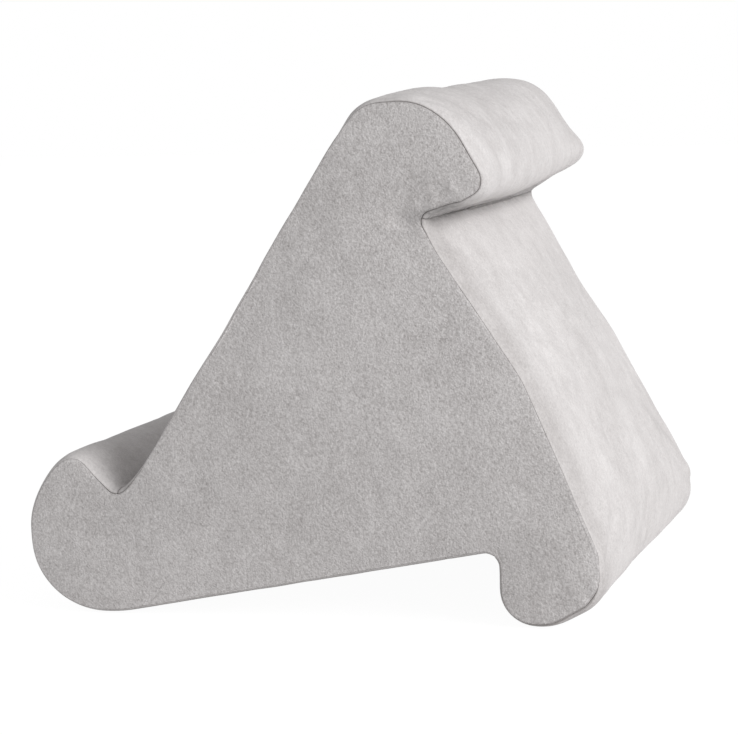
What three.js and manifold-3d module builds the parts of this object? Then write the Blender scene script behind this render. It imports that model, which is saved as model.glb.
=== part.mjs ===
// Soft tablet stand: a foam block in a sewn cover with a zip underneath.
// Millimetres, +Z up. X runs across the width and the tablet leans on the -Y side.
// The origin is on the floor, under the middle of the stand.
import * as THREE from "three";
import { mergeVertices } from "three/addons/utils/BufferGeometryUtils.js";
import Module from "manifold-3d";

const wasm = await Module();
wasm.setup();

const DEGREE = Math.PI / 180;
const HALF = 0.5;

// ---- Driving dimensions -------------------------------------------------------------------
// Overall size of the sewn stand.
const WIDTH = 240;
const DEPTH = 273;
const HEIGHT = 238.5;

// Front lip and the ledge behind it. Heights are above the floor, depths behind the lip's front.
const LEDGE_DEPTH = 45.3;
const LEDGE_HEIGHT = 55;
const LIP_SHOULDER_HEIGHT = 60.7;
const LIP_CREST_DEPTH = 25.7;
const LIP_CREST_HEIGHT = 76.7;
const LIP_ROUND = 38;
const LIP_SHOULDER_ROUND = 39;
const LIP_CREST_ROUND = 9;
const LEDGE_ROUND = 3.3;

// Tablet face, and the hook that its top turns over into.
const FACE_SLOPE = 57 * DEGREE;
const HOOK_TOP_LENGTH = 39.4;
const HOOK_OVERHANG = 22.3;
const HOOK_DROP = 40.8;
const HOOK_TIP_CUT = 9.8;
const HOOK_LEDGE_DEPTH = 23.3;
const HOOK_LEDGE_FALL = 4.2;
const TOP_FRONT_ROUND = 17.7;
const TOP_REAR_ROUND = 38.5;
const HOOK_TIP_ROUND = 9.4;
const HOOK_UNDER_ROUND = 3.7;

// Rear face and rear foot. REAR_CROWN is how far the middle of the rear face stands proud.
const REAR_CROWN = 7.6;
const REAR_CROWN_ROUND = 60;
const FOOT_DEPTH = 49.4;
const FOOT_SHOULDER_HEIGHT = 34.8;
const FOOT_HEEL_HEIGHT = 12.7;
const FOOT_LEDGE_HEIGHT = 33.7;
const FOOT_SHOULDER_ROUND = 19.8;
const FOOT_HEEL_ROUND = 20;
const FOOT_FRONT_ROUND = 17.4;
const FOOT_LEDGE_ROUND = 5.7;
const REST_STRIP = 8; // flat strip under the lip and under the foot
const REST_EDGE_ROUND = 3;

// Cover.
const FABRIC = 2; // thickness of the backed suede
const FIT = 0.3; // gap between neighbouring pieces
const CROWN = 4; // how far an end panel bulges past its seam
const CROWN_BAND = 5.5; // width of the rounded border of an end panel
const EDGE_BAND = 7; // width of the rounded border of the wrap
const EDGE_INSET = 3.5; // how far the end seam lies inside the full profile
const THREAD_RADIUS = 0.3;

// Zip across the underside. Its frame: x along the zip, y towards the lip, z out of the cover.
const ZIP_SETBACK = 30; // middle of the zip to the foot's ledge, along the underside
const HEM_GAP = 13;
const STITCH_SETBACK = 2; // top stitching to the hem's edge
const TAPE_REACH = 15; // middle of the zip to the outer edge of a tape
const TAPE_SLOT = 0.9; // middle of the zip to the inner edge of a tape
const TAPE_THICKNESS = 0.6;
const COIL_WIDTH = 2.85;
const COIL_HEIGHT = 2.2;
const STOP_LENGTH = 2.4;
const CHAIN_MARGIN = 9; // seam to the end of the chain
const LABEL_LENGTH = 24;
const LABEL_THICKNESS = 0.4;
const LABEL_X = 70;

// Zip slider and its pull tab.
const SLIDER_LENGTH = 11;
const SHOULDER_FLARE = 0.5; // how far a shoulder stands out past the tail, on each side
const BLADE = 1.2; // thickness of a blade
const NECK_WIDTH = 1;
const NECK_LENGTH = 2;
const FLANGE = 1;
const BAIL_HOLE_RADIUS = 1.1;
const BAIL_WALL = 1.2;
const BAIL_WIDTH = 2.4;
const BAIL_STAND = 1.2; // hinge axis above the outer blade
const TAB_LENGTH = 22;
const TAB_WIDTH = 6.6;
const TAB_WAIST = 5.6;
const TAB_THICKNESS = 1.1;
const TAB_ROUND = 1.6;

// Fineness of the mesh.
const ARC_STEP = 15 * DEGREE;
const BORDER_STEPS = 2;
const THREAD_SIDES = 5;
const SMALLEST_ROUND = 0.4;

// ---- Finishes -----------------------------------------------------------------------------
const finish = (color, roughness, metalness = 0) =>
  new THREE.MeshStandardMaterial({ color, roughness, metalness });
const SUEDE = finish("#c4c0bf", 0.95);
const FOAM = finish("#f1e9cf", 0.9);
const TAPE = finish("#a5a1a0", 0.85);
const COIL = finish("#9c9897", 0.55);
const THREAD = finish("#8f8a88", 0.8);
const METAL = finish("#a8a9ac", 0.35, 1);
const LABEL = finish("#efefec", 0.8);

const stand = new THREE.Group();

function addPiece(name, geometry, material, parent = stand) {
  const mesh = new THREE.Mesh(geometry, material);
  mesh.name = name;
  parent.add(mesh);
  return mesh;
}

// ---- Side profile -------------------------------------------------------------------------
// Corners go from the lip's underside up the front, over the hook and down the back.
function profileCorners() {
  const front = -DEPTH * HALF;
  const back = DEPTH * HALF;
  const ledgeY = front + LEDGE_DEPTH;
  const topFrontY = ledgeY + (HEIGHT - LEDGE_HEIGHT) / Math.tan(FACE_SLOPE);
  const topRearY = topFrontY + HOOK_TOP_LENGTH;
  const tipY = topRearY + HOOK_OVERHANG;
  const underY = tipY - HOOK_TIP_CUT;
  const underZ = HEIGHT - HOOK_DROP - HOOK_TIP_CUT;
  const hookLedge = new THREE.Vector2(underY - HOOK_LEDGE_DEPTH, underZ - HOOK_LEDGE_FALL);
  const footShoulder = new THREE.Vector2(back, FOOT_SHOULDER_HEIGHT);
  const crown = crownPoint(hookLedge, footShoulder);
  const footY = back - FOOT_DEPTH;
  return [
    corner("lipHeel", front, 0, LIP_ROUND),
    corner("lipShoulder", front, LIP_SHOULDER_HEIGHT, LIP_SHOULDER_ROUND),
    corner("lipCrest", front + LIP_CREST_DEPTH, LIP_CREST_HEIGHT, LIP_CREST_ROUND),
    corner("ledge", ledgeY, LEDGE_HEIGHT, LEDGE_ROUND),
    corner("topFront", topFrontY, HEIGHT, TOP_FRONT_ROUND),
    corner("topRear", topRearY, HEIGHT, TOP_REAR_ROUND),
    corner("hookTip", tipY, HEIGHT - HOOK_DROP, HOOK_TIP_ROUND),
    corner("hookUnder", underY, underZ, HOOK_UNDER_ROUND),
    corner("hookLedge", hookLedge.x, hookLedge.y, LEDGE_ROUND),
    corner("rearCrown", crown.x, crown.y, REAR_CROWN_ROUND),
    corner("footShoulder", footShoulder.x, footShoulder.y, FOOT_SHOULDER_ROUND),
    corner("footHeel", back, FOOT_HEEL_HEIGHT, FOOT_HEEL_ROUND),
    corner("footRest", footY + FOOT_FRONT_ROUND + REST_STRIP, 0, REST_EDGE_ROUND),
    corner("footFront", footY, 0, FOOT_FRONT_ROUND),
    corner("footLedge", footY, FOOT_LEDGE_HEIGHT, FOOT_LEDGE_ROUND),
    corner("lipRest", front + LIP_ROUND + REST_STRIP, 0, REST_EDGE_ROUND),
  ];
}

function corner(name, y, z, round) {
  return { name, at: new THREE.Vector2(y, z), round };
}

// The middle of the rear face, moved out by REAR_CROWN.
function crownPoint(from, to) {
  const along = to.clone().sub(from).normalize();
  const outwards = new THREE.Vector2(-along.y, along.x);
  return from.clone().lerp(to, HALF).addScaledVector(outwards, REAR_CROWN);
}

const neighbour = (list, i, step) => list[(i + step + list.length) % list.length];

// Directions of the edges that meet at a corner, and how far the outline turns there.
function edgesAt(corners, i) {
  const at = corners[i].at;
  const before = at.clone().sub(neighbour(corners, i, -1).at).normalize();
  const after = neighbour(corners, i, 1).at.clone().sub(at).normalize();
  const turn = Math.atan2(before.cross(after), before.dot(after));
  return { before, after, turn };
}

// A round is limited where its edges are too short for it and its neighbour's.
function limitRounds(corners) {
  const reach = corners.map((c, i) => c.round * Math.tan(Math.abs(edgesAt(corners, i).turn) * HALF));
  const room = (i, step) => {
    const length = corners[i].at.distanceTo(neighbour(corners, i, step).at);
    return length / (reach[i] + neighbour(reach, i, step));
  };
  return corners.map((c, i) => ({ ...c, round: c.round * Math.min(1, room(i, -1), room(i, 1)) }));
}

const PROFILE = limitRounds(profileCorners());
const findCorner = (name) => PROFILE.findIndex((c) => c.name === name);
const inwardNormal = (direction) => new THREE.Vector2(direction.y, -direction.x);

// Points of one rounded corner of the profile, drawn `inset` inside the full profile.
function roundedCorner(i, inset) {
  const { before, turn, after } = edgesAt(PROFILE, i);
  const normal = inwardNormal(before);
  const nextNormal = inwardNormal(after);
  const convex = turn < 0;
  const own = PROFILE[i].round;
  const round = convex ? Math.max(own - inset, SMALLEST_ROUND) : own + inset;
  const shift = inset / (1 + normal.dot(nextNormal));
  const tip = PROFILE[i].at.clone().addScaledVector(normal.clone().add(nextNormal), shift);
  const start = tip.addScaledVector(before, -round * Math.tan(Math.abs(turn) * HALF));
  const side = convex ? round : -round;
  const centre = start.clone().addScaledVector(normal, side);
  const steps = 2 * Math.max(1, Math.round(Math.abs(turn) / (2 * ARC_STEP)));
  const points = [];
  for (let k = 0; k <= steps; k += 1) {
    points.push(start.clone().rotateAround(centre, (turn * k) / steps));
  }
  return points;
}

// Where the zip's middle line meets the underside, and the underside's direction there.
function zipSeat() {
  const ledge = PROFILE[findCorner("footLedge")].at;
  const along = PROFILE[findCorner("lipRest")].at.clone().sub(ledge).normalize();
  return { at: ledge.clone().addScaledVector(along, ZIP_SETBACK), along };
}

// The whole outline `inset` inside the full profile. Every inset gives the same number of points,
// and marks hold the index of each corner's middle point and of the two hems beside the zip.
function outline(inset) {
  const points = [];
  const marks = {};
  PROFILE.forEach((c, i) => {
    const arc = roundedCorner(i, inset);
    marks[c.name] = points.length + (arc.length - 1) * HALF;
    points.push(...arc);
    if (c.name === "footLedge") {
      const { at, along } = zipSeat();
      const seat = at.addScaledVector(inwardNormal(along), inset);
      marks.hemRear = points.length;
      marks.hemFront = points.length + 1;
      points.push(seat.clone().addScaledVector(along, -HEM_GAP * HALF));
      points.push(seat.clone().addScaledVector(along, HEM_GAP * HALF));
    }
  });
  return { points, marks };
}

// ---- Solids -------------------------------------------------------------------------------
// Joins rings of equally many points into one closed solid with its faces pointing out.
function loft(rings, closed = false) {
  const count = rings[0].length;
  const index = [];
  const spans = closed ? rings.length : rings.length - 1;
  for (let r = 0; r < spans; r += 1) {
    for (let p = 0; p < count; p += 1) {
      const next = (p + 1) % count;
      const here = r * count;
      const there = ((r + 1) % rings.length) * count;
      index.push(here + p, here + next, there + next);
      index.push(here + p, there + next, there + p);
    }
  }
  if (!closed) {
    const last = (rings.length - 1) * count;
    // Each cap is triangulated on its own outline, seen along X.
    for (const face of capFaces(rings[0])) {
      index.push(...face.reverse());
    }
    for (const face of capFaces(rings[rings.length - 1])) {
      index.push(...face.map((v) => v + last));
    }
  }
  const geometry = new THREE.BufferGeometry().setFromPoints(rings.flat());
  geometry.setIndex(signedVolume(rings.flat(), index) < 0 ? index.reverse() : index);
  geometry.computeVertexNormals();
  return geometry;
}

// Triangles that fill a ring, wound the way the ring's own points go.
function capFaces(ring) {
  const flat = ring.map((v) => new THREE.Vector2(v.y, v.z));
  const faces = THREE.ShapeUtils.triangulateShape(flat, []);
  const forwards = THREE.ShapeUtils.area(flat) > 0;
  const area = (f) => THREE.ShapeUtils.area(f.map((v) => flat[v]));
  return faces.map((f) => (area(f) > 0 === forwards ? f : [...f].reverse()));
}

function signedVolume(points, index) {
  let sum = 0;
  for (let i = 0; i < index.length; i += 3) {
    const [a, b, c] = [points[index[i]], points[index[i + 1]], points[index[i + 2]]];
    sum += a.dot(b.clone().cross(c));
  }
  return sum;
}

const atX = (points, x) => points.map((p) => new THREE.Vector3(x, p.x, p.y));

// Stations of a rounded border, a quarter ellipse from one (x, inset) to another.
function border(from, to, steep) {
  const stations = [];
  for (let k = 0; k <= BORDER_STEPS; k += 1) {
    const angle = (k / BORDER_STEPS) * Math.PI * HALF;
    const rise = Math.sin(angle);
    const swing = 1 - Math.cos(angle);
    stations.push({
      x: from.x + (to.x - from.x) * (steep ? rise : swing),
      inset: from.inset + (to.inset - from.inset) * (steep ? swing : rise),
    });
  }
  return stations;
}

const SEAM_X = WIDTH * HALF - CROWN;
const PANEL_EDGE_X = SEAM_X + FIT;
const FACE_INSET = EDGE_INSET + CROWN_BAND;
// From the flat middle of the wrap out to its seam.
const WRAP_BORDER = border({ x: SEAM_X, inset: EDGE_INSET }, { x: SEAM_X - EDGE_BAND, inset: 0 }, false)
  .reverse();
// From the seam out to the flat middle of an end panel, outside and inside.
const PANEL_OUTSIDE = border(
  { x: PANEL_EDGE_X, inset: EDGE_INSET },
  { x: WIDTH * HALF, inset: FACE_INSET },
  true,
);
const PANEL_INSIDE = border(
  { x: PANEL_EDGE_X, inset: EDGE_INSET + FABRIC },
  { x: WIDTH * HALF - FABRIC, inset: FACE_INSET },
  true,
);

const mirrored = (stations) => [...stations].reverse().map(({ x, inset }) => ({ x: -x, inset }));
const bothSides = (stations) => [...mirrored(stations), ...stations];

// ---- Cover panels -------------------------------------------------------------------------
// The outline from one mark to another, its two ends drawn in by half the gap between panels.
function stretch(inset, from, to) {
  const { points, marks } = outline(inset);
  const first = marks[from];
  const span = (marks[to] - first + points.length) % points.length;
  const path = [];
  for (let k = 0; k <= span; k += 1) {
    path.push(neighbour(points, first + k, 0).clone());
  }
  const gap = FIT * HALF;
  const ends = [
    [0, 1],
    [span, span - 1],
  ];
  for (const [end, inner] of ends) {
    path[end].add(path[inner].clone().sub(path[end]).setLength(gap));
  }
  return path;
}

// A strip of fabric that follows the outline from one mark to another, across the whole width.
function wrapPanel(from, to) {
  const rings = bothSides(WRAP_BORDER).map(({ x, inset }) => {
    const outside = stretch(inset, from, to);
    const inside = stretch(inset + FABRIC, from, to).reverse();
    return atX([...outside, ...inside], x);
  });
  return loft(rings);
}

// An end panel is a shallow tray with a rounded border, its raw edge facing the wrap.
function endPanel(side) {
  const stations = [...[...PANEL_INSIDE].reverse(), ...PANEL_OUTSIDE];
  return loft(stations.map(({ x, inset }) => atX(outline(inset).points, side * x)));
}

// The thread of an end seam runs all the way round, just outside the two raw edges.
function seamThread(side) {
  const x = side * (SEAM_X + FIT * HALF);
  const { points } = outline(EDGE_INSET - FIT - 2 * THREAD_RADIUS);
  const rings = points.map((p, i) => {
    const along = neighbour(points, i, 1).clone().sub(neighbour(points, i, -1)).normalize();
    const inwards = inwardNormal(along);
    const ring = [];
    for (let k = 0; k < THREAD_SIDES; k += 1) {
      const angle = (k / THREAD_SIDES) * 2 * Math.PI;
      const q = p.clone().addScaledVector(inwards, THREAD_RADIUS * Math.sin(angle));
      ring.push(new THREE.Vector3(x + THREAD_RADIUS * Math.cos(angle), q.x, q.y));
    }
    return ring;
  });
  return loft(rings, true);
}

// A straight thread along X.
function crossThread(length) {
  const turn = new THREE.Matrix4().makeRotationZ(Math.PI * HALF);
  return new THREE.CylinderGeometry(THREAD_RADIUS, THREAD_RADIUS, length, THREAD_SIDES).applyMatrix4(turn);
}

function addCover() {
  addPiece("end_panel_right", endPanel(1), SUEDE);
  addPiece("end_panel_left", endPanel(-1), SUEDE);
  addPiece("wrap_front", wrapPanel("ledge", "hookLedge"), SUEDE);
  addPiece("wrap_back", wrapPanel("hookLedge", "footLedge"), SUEDE);
  addPiece("wrap_zip_strip", wrapPanel("footLedge", "hemRear"), SUEDE);
  addPiece("wrap_base", wrapPanel("hemFront", "ledge"), SUEDE);
  addPiece("seam_thread_right", seamThread(1), THREAD);
  addPiece("seam_thread_left", seamThread(-1), THREAD);
  const seams = { ledge: "ledge", hookLedge: "hook", footLedge: "foot" };
  const { points, marks } = outline(-FIT - THREAD_RADIUS);
  for (const [mark, name] of Object.entries(seams)) {
    const thread = addPiece(`${name}_seam_thread`, crossThread(2 * (SEAM_X - EDGE_BAND)), THREAD);
    thread.position.set(0, points[marks[mark]].x, points[marks[mark]].y);
  }
}

// ---- Foam core ----------------------------------------------------------------------------
function toManifold(geometry) {
  const plain = geometry.clone();
  plain.deleteAttribute("normal");
  plain.deleteAttribute("uv");
  const merged = mergeVertices(plain);
  return new wasm.Manifold(
    new wasm.Mesh({
      numProp: 3,
      vertProperties: merged.getAttribute("position").array,
      triVerts: new Uint32Array(merged.index.array),
    }),
  );
}

function toGeometry(solid) {
  const { vertProperties, triVerts } = solid.getMesh();
  const geometry = new THREE.BufferGeometry();
  geometry.setAttribute("position", new THREE.BufferAttribute(vertProperties, 3));
  geometry.setIndex(new THREE.BufferAttribute(triVerts, 1));
  geometry.computeVertexNormals();
  return geometry;
}

const box = (x, y, z) => new THREE.BoxGeometry(x, y, z);

// Heights in the zip's frame, z = 0 at the cover's outside.
const TAPE_TOP = -FABRIC - FIT;
const TAPE_BOTTOM = TAPE_TOP - TAPE_THICKNESS;
const COIL_BOTTOM = TAPE_TOP + FIT;
const COIL_TOP = COIL_BOTTOM + COIL_HEIGHT;
const OUTER_BLADE_Z = COIL_TOP + FIT;
const INNER_BLADE_Z = TAPE_BOTTOM - FIT - BLADE;
const CHANNEL_Z = INNER_BLADE_Z - FIT;

// The foam fills the cover and is cut away behind the zip.
function foamCore(zipPlace) {
  const loose = ({ x, inset }) => ({ x: x - FIT, inset: inset + FIT });
  const wrapSide = WRAP_BORDER.map(({ x, inset }) => loose({ x, inset: inset + FABRIC }));
  const stations = bothSides([...wrapSide, ...PANEL_INSIDE.map(loose)]);
  const block = loft(stations.map(({ x, inset }) => atX(outline(inset).points, x)));
  const channel = box(WIDTH * 2, 2 * (TAPE_REACH + FIT), -2 * CHANNEL_Z).applyMatrix4(zipPlace);
  return toGeometry(toManifold(block).subtract(toManifold(channel)));
}

// ---- Zip ----------------------------------------------------------------------------------
const CHAIN_END = SEAM_X - CHAIN_MARGIN;
// The closed slider stands against the top stops at the -X end of the chain.
const SLIDER_X = -CHAIN_END + STOP_LENGTH + FIT + SLIDER_LENGTH * HALF;
const NECK_X = -SLIDER_LENGTH * HALF + NECK_LENGTH * HALF;
const COIL_START = SLIDER_X + NECK_X + NECK_LENGTH * HALF + FIT;
const COIL_STOP = CHAIN_END - STOP_LENGTH - FIT;
const COIL_REACH = FIT * HALF + COIL_WIDTH; // middle of the zip to the outer side of a coil
const FLANGE_Y = COIL_REACH + FIT;

// A block given by its lowest and highest corner.
function blockBetween(low, high) {
  const size = high.map((v, i) => v - low[i]);
  const middle = high.map((v, i) => (v + low[i]) * HALF);
  return box(...size).translate(...middle);
}

// Extrudes a flat shape by `thickness`, centred, with its axes laid along u, v and w.
function plate(shape, thickness, u, v, w) {
  const flat = new THREE.ExtrudeGeometry(shape, {
    depth: thickness,
    bevelEnabled: false,
    curveSegments: 5,
  });
  flat.translate(0, 0, -thickness * HALF);
  return flat.applyMatrix4(new THREE.Matrix4().makeBasis(u, v, w));
}

const AXIS_X = new THREE.Vector3(1, 0, 0);
const AXIS_Y = new THREE.Vector3(0, 1, 0);
const AXIS_Z = new THREE.Vector3(0, 0, 1);

function addTapes(zip) {
  const tapeEnd = SEAM_X - EDGE_BAND;
  for (const [row, side] of Object.entries({ front: 1, rear: -1 })) {
    const across = (a, b) => [Math.min(side * a, side * b), Math.max(side * a, side * b)];
    const bar = (x, y, z) => blockBetween([x[0], y[0], z[0]], [x[1], y[1], z[1]]);
    const tapeY = across(TAPE_SLOT, TAPE_REACH);
    const coilY = across(FIT * HALF, COIL_REACH);
    const coilZ = [COIL_BOTTOM, COIL_TOP];
    addPiece(`zip_tape_${row}`, bar([-tapeEnd, tapeEnd], tapeY, [TAPE_BOTTOM, TAPE_TOP]), TAPE, zip);
    addPiece(`zip_coil_${row}`, bar([COIL_START, COIL_STOP], coilY, coilZ), COIL, zip);
    const stopX = [-CHAIN_END, -CHAIN_END + STOP_LENGTH];
    addPiece(`zip_top_stop_${row}`, bar(stopX, coilY, coilZ), METAL, zip);
    const stitch = addPiece(`zip_stitch_${row}`, crossThread(2 * (SEAM_X - EDGE_BAND)), THREAD, zip);
    stitch.position.set(0, side * (HEM_GAP * HALF + STITCH_SETBACK), FIT + THREAD_RADIUS);
  }
  const stopLow = [CHAIN_END - STOP_LENGTH, -COIL_REACH, COIL_BOTTOM];
  const stopHigh = [CHAIN_END, COIL_REACH, COIL_TOP];
  addPiece("zip_bottom_stop", blockBetween(stopLow, stopHigh), METAL, zip);
  addLabel(zip);
}

// The label lies under the rear tape, from the tape's outer edge to just clear of the slider.
function addLabel(zip) {
  const width = TAPE_REACH - FLANGE_Y - FLANGE - SHOULDER_FLARE - 2 * FIT;
  const label = addPiece("care_label", box(LABEL_LENGTH, width, LABEL_THICKNESS), LABEL, zip);
  const z = TAPE_BOTTOM - FIT - LABEL_THICKNESS * HALF;
  label.position.set(LABEL_X, FIT - TAPE_REACH + width * HALF, z);
}

// Plan of a blade: broad shoulders at the front, a narrower tail behind.
function bladeShape() {
  const end = SLIDER_LENGTH * HALF;
  const tail = FLANGE_Y + FLANGE;
  const shoulder = tail + SHOULDER_FLARE;
  const half = [
    [-end, shoulder * HALF],
    [-end + FLANGE, shoulder],
    [0, shoulder],
    [end - FLANGE, tail],
    [end, tail - FLANGE],
  ];
  const other = [...half].reverse().map(([x, y]) => [x, -y]);
  return new THREE.Shape([...half, ...other].reverse().map(([x, y]) => new THREE.Vector2(x, y)));
}

// Side view of the bail: a half ring on two legs, standing on the outer blade.
function bailShape() {
  const outer = BAIL_HOLE_RADIUS + BAIL_WALL;
  const foot = -BAIL_STAND - BLADE * HALF;
  const shape = new THREE.Shape();
  shape.moveTo(outer, foot);
  shape.absarc(0, 0, outer, 0, Math.PI, false);
  shape.lineTo(-outer, foot);
  shape.lineTo(-BAIL_HOLE_RADIUS, foot);
  shape.absarc(0, 0, BAIL_HOLE_RADIUS, Math.PI, 0, true);
  shape.lineTo(BAIL_HOLE_RADIUS, foot);
  shape.closePath();
  return shape;
}

const HINGE_Z = OUTER_BLADE_Z + BLADE + BAIL_STAND;

function sliderBody() {
  const blade = (z) => plate(bladeShape(), BLADE, AXIS_X, AXIS_Y, AXIS_Z).translate(0, 0, z + BLADE * HALF);
  const neckLow = [NECK_X - NECK_LENGTH * HALF, -NECK_WIDTH * HALF, INNER_BLADE_Z + BLADE * HALF];
  const neckHigh = [NECK_X + NECK_LENGTH * HALF, NECK_WIDTH * HALF, OUTER_BLADE_Z + BLADE * HALF];
  const bail = plate(bailShape(), BAIL_WIDTH, AXIS_X, AXIS_Z, AXIS_Y.clone().negate());
  const parts = [
    blade(INNER_BLADE_Z),
    blockBetween(neckLow, neckHigh),
    bail.translate(0, 0, HINGE_Z),
  ];
  const flangeEnd = SLIDER_LENGTH * HALF - FLANGE;
  for (const side of [-1, 1]) {
    const y = [side * FLANGE_Y, side * (FLANGE_Y + FLANGE)].sort((a, b) => a - b);
    const low = [-flangeEnd, y[0], COIL_BOTTOM];
    parts.push(blockBetween(low, [flangeEnd, y[1], OUTER_BLADE_Z + BLADE * HALF]));
  }
  const whole = parts.reduce((sum, g) => sum.add(toManifold(g)), toManifold(blade(OUTER_BLADE_Z)));
  return toGeometry(whole);
}

// Front view of the tab: a cross bar above an eye, a waist and a broader grip with round corners.
function tabShape() {
  const top = -TAB_THICKNESS * HALF;
  const eyeEnd = BAIL_HOLE_RADIUS + BAIL_WALL + 2 * FIT;
  const waist = TAB_WAIST * HALF;
  const grip = TAB_WIDTH * HALF;
  const gripStart = eyeEnd + TAB_ROUND;
  const shape = new THREE.Shape();
  shape.moveTo(-waist, top);
  shape.lineTo(waist, top);
  shape.lineTo(waist, eyeEnd);
  shape.lineTo(grip, gripStart);
  shape.lineTo(grip, TAB_LENGTH - TAB_ROUND);
  shape.absarc(grip - TAB_ROUND, TAB_LENGTH - TAB_ROUND, TAB_ROUND, 0, Math.PI * HALF, false);
  shape.absarc(-grip + TAB_ROUND, TAB_LENGTH - TAB_ROUND, TAB_ROUND, Math.PI * HALF, Math.PI, false);
  shape.lineTo(-grip, gripStart);
  shape.lineTo(-waist, eyeEnd);
  shape.closePath();
  const eye = new THREE.Path();
  const eyeHalf = BAIL_WIDTH * HALF + FIT;
  eye.moveTo(-eyeHalf, -top);
  eye.lineTo(-eyeHalf, eyeEnd);
  eye.lineTo(eyeHalf, eyeEnd);
  eye.lineTo(eyeHalf, -top);
  eye.closePath();
  shape.holes.push(eye);
  return shape;
}

function addZip() {
  const { at, along } = zipSeat();
  const zip = new THREE.Group();
  zip.position.set(0, at.x, at.y);
  // Turned over, so that its z points down and out of the underside.
  zip.rotation.x = Math.PI + Math.atan2(-along.y, -along.x);
  zip.updateMatrix();
  stand.add(zip);
  addTapes(zip);
  const slider = new THREE.Group();
  slider.position.x = SLIDER_X;
  zip.add(slider);
  addPiece("zip_slider", sliderBody(), METAL, slider);
  const tabPlate = plate(tabShape(), TAB_THICKNESS, AXIS_Y, AXIS_Z, AXIS_X);
  const tab = addPiece("zip_pull_tab", tabPlate, METAL, slider);
  tab.position.z = HINGE_Z;
  return zip.matrix;
}

// ---- Assembly -----------------------------------------------------------------------------
addCover();
const zipPlace = addZip();
addPiece("foam_core", foamCore(zipPlace), FOAM);

export default stand;
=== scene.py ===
"""A soft tablet stand: a foam block in a sewn suede cover that closes with a zip underneath.

Everything is in metres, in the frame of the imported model: X across the width, the tablet leans on the
-Y side, Z up from the floor.
"""
from __future__ import annotations

import logging
import math
from dataclasses import dataclass, field, replace
from enum import Enum
from functools import cached_property
from typing import Iterable, Sequence, Union

import bmesh
import bpy
import numpy as np
from mathutils import Matrix, Vector, noise
from mathutils.geometry import delaunay_2d_cdt


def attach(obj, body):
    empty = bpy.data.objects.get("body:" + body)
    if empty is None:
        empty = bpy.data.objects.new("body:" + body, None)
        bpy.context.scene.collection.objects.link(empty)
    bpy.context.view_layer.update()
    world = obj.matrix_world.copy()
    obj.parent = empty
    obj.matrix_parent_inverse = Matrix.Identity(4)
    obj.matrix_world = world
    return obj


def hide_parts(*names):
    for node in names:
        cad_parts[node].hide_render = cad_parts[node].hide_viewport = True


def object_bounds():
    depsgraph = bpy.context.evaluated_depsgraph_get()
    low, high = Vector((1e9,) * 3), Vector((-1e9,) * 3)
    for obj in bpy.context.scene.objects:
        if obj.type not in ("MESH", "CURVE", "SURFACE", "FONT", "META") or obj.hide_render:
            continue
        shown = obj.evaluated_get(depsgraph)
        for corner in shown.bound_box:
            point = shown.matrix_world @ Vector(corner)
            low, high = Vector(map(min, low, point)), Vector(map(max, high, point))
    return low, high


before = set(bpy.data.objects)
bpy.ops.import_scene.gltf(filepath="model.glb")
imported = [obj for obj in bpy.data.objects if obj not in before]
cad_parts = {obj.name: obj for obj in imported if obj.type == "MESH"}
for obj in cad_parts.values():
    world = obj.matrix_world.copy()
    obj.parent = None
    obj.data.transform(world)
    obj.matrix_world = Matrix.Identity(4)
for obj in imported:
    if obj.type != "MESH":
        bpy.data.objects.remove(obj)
CAD_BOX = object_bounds()

MM = 0.001
DEGREE = math.pi / 180
log = logging.getLogger("tablet_stand")

Colour = tuple[float, float, float]
Value = Union["Signal", float, int, Sequence[float]]


# ---- Node trees ---------------------------------------------------------------------------
class Signal:
    """An output socket that can be used in arithmetic, each step adding one Math node."""

    def __init__(self, bench: "Bench", socket: bpy.types.NodeSocket) -> None:
        """Keeps the bench that owns the tree and the socket itself."""
        self.bench = bench
        self.socket = socket

    def _math(self, operation: str, *values: Value) -> "Signal":
        """Adds a Math node on the given values and returns its result."""
        return self.bench.node("ShaderNodeMath", {"operation": operation}, dict(enumerate(values)))[0]

    def __add__(self, other: Value) -> "Signal":
        """self + other."""
        return self._math("ADD", self, other)

    def __sub__(self, other: Value) -> "Signal":
        """self - other."""
        return self._math("SUBTRACT", self, other)

    def __rsub__(self, other: Value) -> "Signal":
        """other - self."""
        return self._math("SUBTRACT", other, self)

    def __mul__(self, other: Value) -> "Signal":
        """self * other."""
        return self._math("MULTIPLY", self, other)

    def __truediv__(self, other: Value) -> "Signal":
        """self / other."""
        return self._math("DIVIDE", self, other)

    __radd__ = __add__
    __rmul__ = __mul__

    def sine(self) -> "Signal":
        """The sine of the value."""
        return self._math("SINE", self)

    def clamped(self) -> "Signal":
        """The value kept between 0 and 1."""
        return self.bench.node("ShaderNodeClamp", {}, {"Value": self})[0]

    def between(self, low: float, high: float) -> "Signal":
        """A smooth step from 0 at low to 1 at high.

        Args:
            low: where the step starts.
            high: where the step ends; it may be below low, which turns the step round.

        Returns:
            The step's value, from 0 to 1.
        """
        values = {"Value": self, "From Min": low, "From Max": high}
        return self.bench.node("ShaderNodeMapRange", {"interpolation_type": "SMOOTHSTEP"}, values)[0]


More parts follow.
